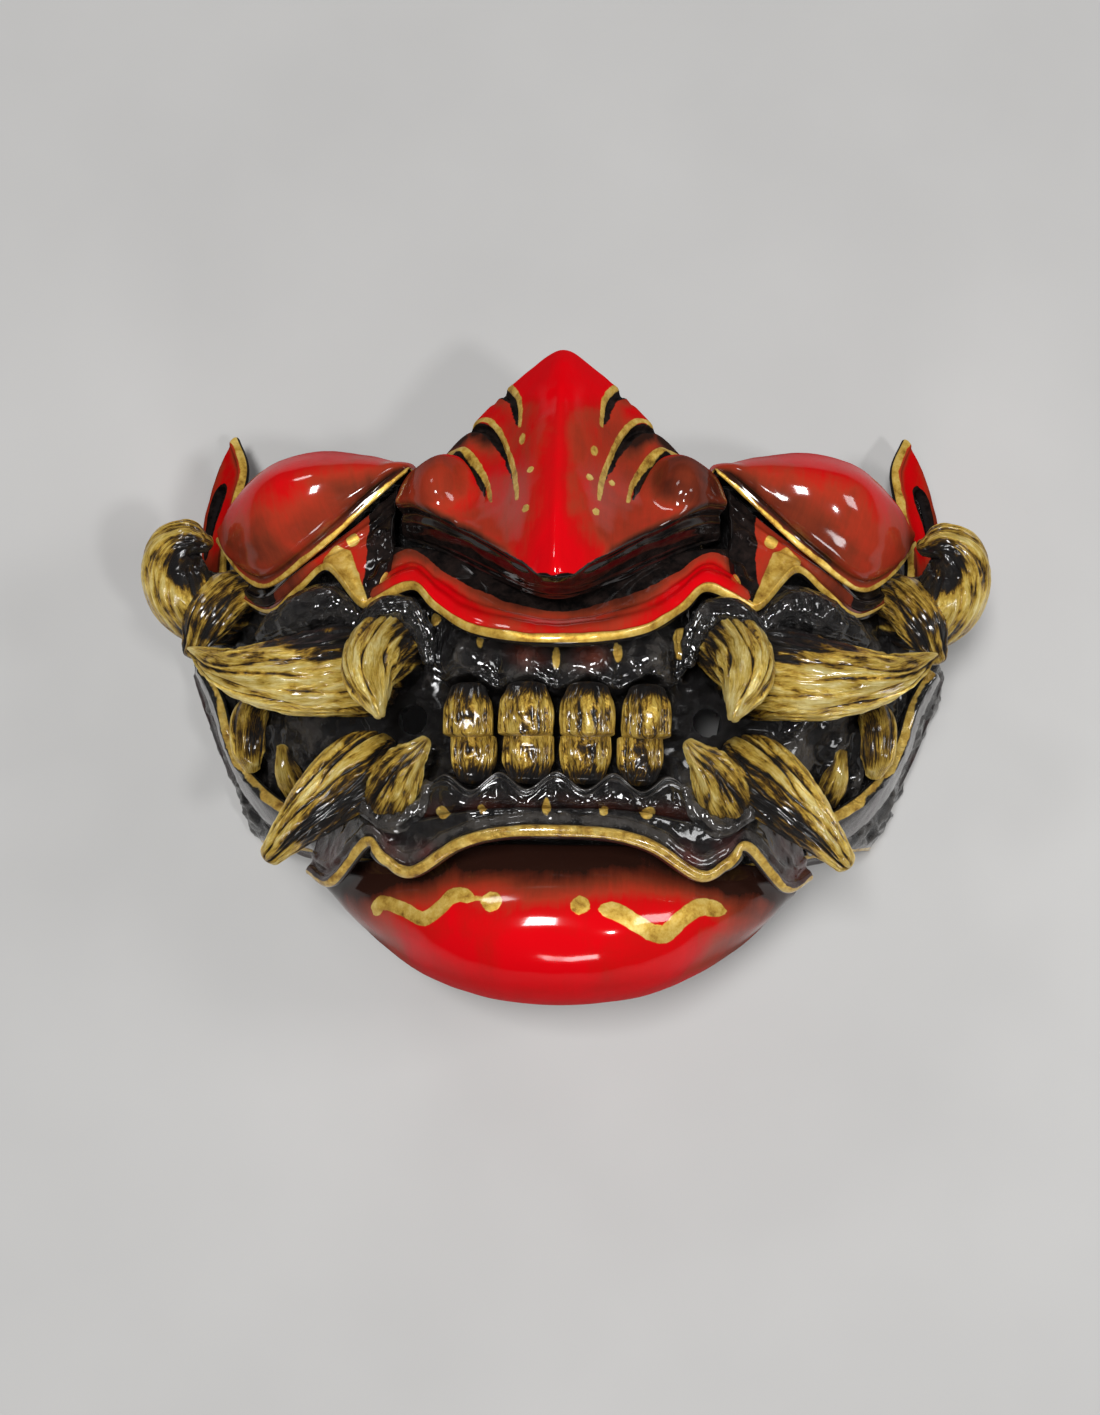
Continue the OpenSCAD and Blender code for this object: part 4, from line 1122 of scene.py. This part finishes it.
def gum_folds():
    def fleshy(seed, count, depth, width):
        grooves = grooved(seed, count, depth, width, 0.45)

        def relief(angle, along, far, radius):
            place = np.stack([np.cos(angle) * radius, np.sin(angle) * radius, far], -1)
            return grooves(angle, along, far, radius) + wet_flesh(place, 0.9)

        return relief

    over_tusk = bar([[73, 8.5, 56], [64, 13, 62.5], [54, 15.5, 66], [46.5, 11, 68.5]],
                    [[2, 1.8], [4.4, 3.6], [5.2, 4.2], [3, 2.6]],
                    sides=130, rings=110, relief=fleshy(15, 14, 1.2, 0.5))
    add_pair("upper_tusk_collar", as_black(over_tusk, 0.7), "gum_black")
    hood = bar([[47, 0, 70], [45.6, 7.6, 72.5], [40, 12, 75], [34.5, 11.8, 75.5],
                [30.6, 6.5, 76], [29.2, -0.5, 75]],
               [[1.3, 1.3], [2.6, 2.4], [3.3, 3], [3.3, 3], [2.5, 2.4], [1.2, 1.2]], sides=90, rings=130,
               relief=fleshy(19, 5, 0.6, 0.35))
    add_pair("upper_fang_collar", as_black(hood, 0.7), "gum_black")
    ring = bar([[28.5, -27, 73.5], [31.5, -34, 73.5], [37, -37.5, 73], [43.5, -34, 71], [45, -27, 68]],
               [[0.8, 0.8], [1.8, 1.8], [2, 2], [1.8, 1.8], [0.8, 0.8]], sides=60, rings=120,
               relief=fleshy(17, 4, 0.4, 0.3))
    add_pair("lower_fang_collar", as_black(ring, 1.1), "gum_black")


# ---------- the mask ----------


def red_plates():
    add_piece("nose", plate(both_sides(NOSE), 3, 236, 204, nose_relief, nose_paint), "red_lacquer")
    add_piece("chin", plate(both_sides(CHIN), 3, 160, 110, chin_relief, chin_paint), "red_lacquer")
    lip = plate(both_sides(LIP_NET), 2.6, 240, 64, lip_relief, lip_paint, roll=(1.4, 0.3))
    add_piece("upper_lip_plate", lip, "red_lacquer")
    cheek = plate(CHEEK, 2.6, 120, 120, cheek_relief, cheek_paint, roll=(2.0, 0.45))
    add_pair("cheek_plate", cheek, "red_lacquer")
    under = plate(UNDER_CHEEK, 2, 140, 56, under_cheek_relief, under_cheek_paint, roll=(1.0, 0.2))
    add_pair("under_cheek_plate", under, "red_lacquer")
    add_pair("temple_wing", temple_wing(), "red_lacquer")


def mouth():
    add_piece("upper_gum", upper_gum(), "gum_black")
    add_piece("lower_gum", lower_gum(), "gum_black")
    add_piece("lower_lip_plate", lower_lip(), "lip_black")
    for i in range(1, 5):
        upper = incisor(i, -5, -17.5, 12.8, 83, 20 + i)
        add_piece(f"upper_incisor_{i}", upper, "tooth_gold")
        lower = incisor(i, -27.6, -16.5, 12, 80.5, 30 + i)
        add_piece(f"lower_incisor_{i}", lower, "tooth_gold")


def jaw():
    add_piece("face_shell", face_shell(), "shell_black")
    add_pair("jaw_side_plate", jaw_side(), "lip_black")
    rear = molar([[77, -3.5, 35], [78.3, -10, 42], [77.8, -17, 43.5], [77.3, -22, 41]],
                 [[3.6, 3.6], [4.5, 4.2], [4.1, 3.7], [1.7, 1.7]], 41)
    add_pair("rear_molar", rear, "tooth_gold")
    front = molar([[65.5, -27.5, 41], [67, -22.5, 48], [68.3, -16.5, 49.5]],
                  [[3, 3], [2.9, 2.7], [0.9, 0.9]], 43)
    add_pair("front_molar", front, "tooth_gold")


red_plates()
mouth()
jaw()
tusks()
fangs()
gum_folds()

# ---------- floor, lights and camera ----------

low, high = (Vector(corner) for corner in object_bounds())
middle = (low + high) / 2


def make_floor():
    size = 4.0
    mesh = bpy.data.meshes.new("floor")
    corners = [(-size, -size, low.z), (size, -size, low.z), (size, size, low.z), (-size, size, low.z)]
    mesh.from_pydata(corners, [], [(0, 1, 2, 3)])
    g = Graph("pale_floor")
    cloud = g.noise(g.place(), 9, 4, 0.5)
    colour = g.ramp(cloud, [(0.3, (0.43, 0.425, 0.418)), (0.7, (0.47, 0.465, 0.457))])
    mesh.materials.append(g.finish(colour, 0.6, 0.0, g.bump(cloud, 0.0002, 0.2), 0.0, 0.1))
    floor = bpy.data.objects.new("floor", mesh)
    bpy.context.scene.collection.objects.link(floor)
    floor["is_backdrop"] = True


def add_light(name, place, size, energy, colour=(1, 1, 1)):
    """A soft square light that looks at the mask."""
    data = bpy.data.lights.new(name, "AREA")
    data.shape = "RECTANGLE"
    data.size, data.size_y = size
    data.energy = energy
    data.color = colour
    light = bpy.data.objects.new(name, data)
    light.location = place
    light.rotation_mode = "QUATERNION"
    light.rotation_quaternion = (middle - light.location).to_track_quat("-Z", "Y")
    bpy.context.scene.collection.objects.link(light)


def make_lights():
    add_light("key", Vector((-0.12, 0.0, 1.2)), (0.30, 0.20), 11)
    add_light("fill", Vector((0.85, 0.1, 0.85)), (0.3, 0.3), 3.4)
    add_light("brow", Vector((-0.5, 0.8, 0.9)), (0.25, 0.16), 1.7)
    add_light("jaw", Vector((0.1, -1.1, 0.6)), (0.3, 0.16), 2.4)
    add_light("glint", Vector((0.4, -0.3, 1.0)), (0.08, 0.08), 2.6)
    world = bpy.data.worlds.new("studio")
    world.use_nodes = True
    background = world.node_tree.nodes["Background"]
    background.inputs["Color"].default_value = (0.93, 0.95, 1.0, 1)
    background.inputs["Strength"].default_value = 0.045
    bpy.context.scene.world = world


def make_camera():
    """Looks down on the mask from a little below its chin, from close by, as a hand-held camera does."""
    target = Vector((-0.0026, -0.0067, 0.050))
    distance, tilt, aside, roll = 0.4, math.radians(8), 0.014, math.radians(0.8)
    place = target + Vector((aside, -distance * math.sin(tilt), distance * math.cos(tilt)))
    ahead = (target - place).normalized()
    right = ahead.cross(Vector((0, 1, 0))).normalized()
    up = right.cross(ahead)
    turned = Matrix((right, up, -ahead)).transposed() @ Matrix.Rotation(roll, 3, "Z")
    data = bpy.data.cameras.new("camera")
    data.sensor_width, data.lens = 36, 41.72
    data.clip_start, data.clip_end = 0.01, 20
    camera = bpy.data.objects.new("camera", data)
    camera.matrix_world = Matrix.Translation(place) @ turned.to_4x4()
    bpy.context.scene.collection.objects.link(camera)
    bpy.context.scene.camera = camera


make_floor()
make_lights()
make_camera()
bpy.context.scene.view_settings.view_transform = "Standard"

bpy.context.view_layer.update()
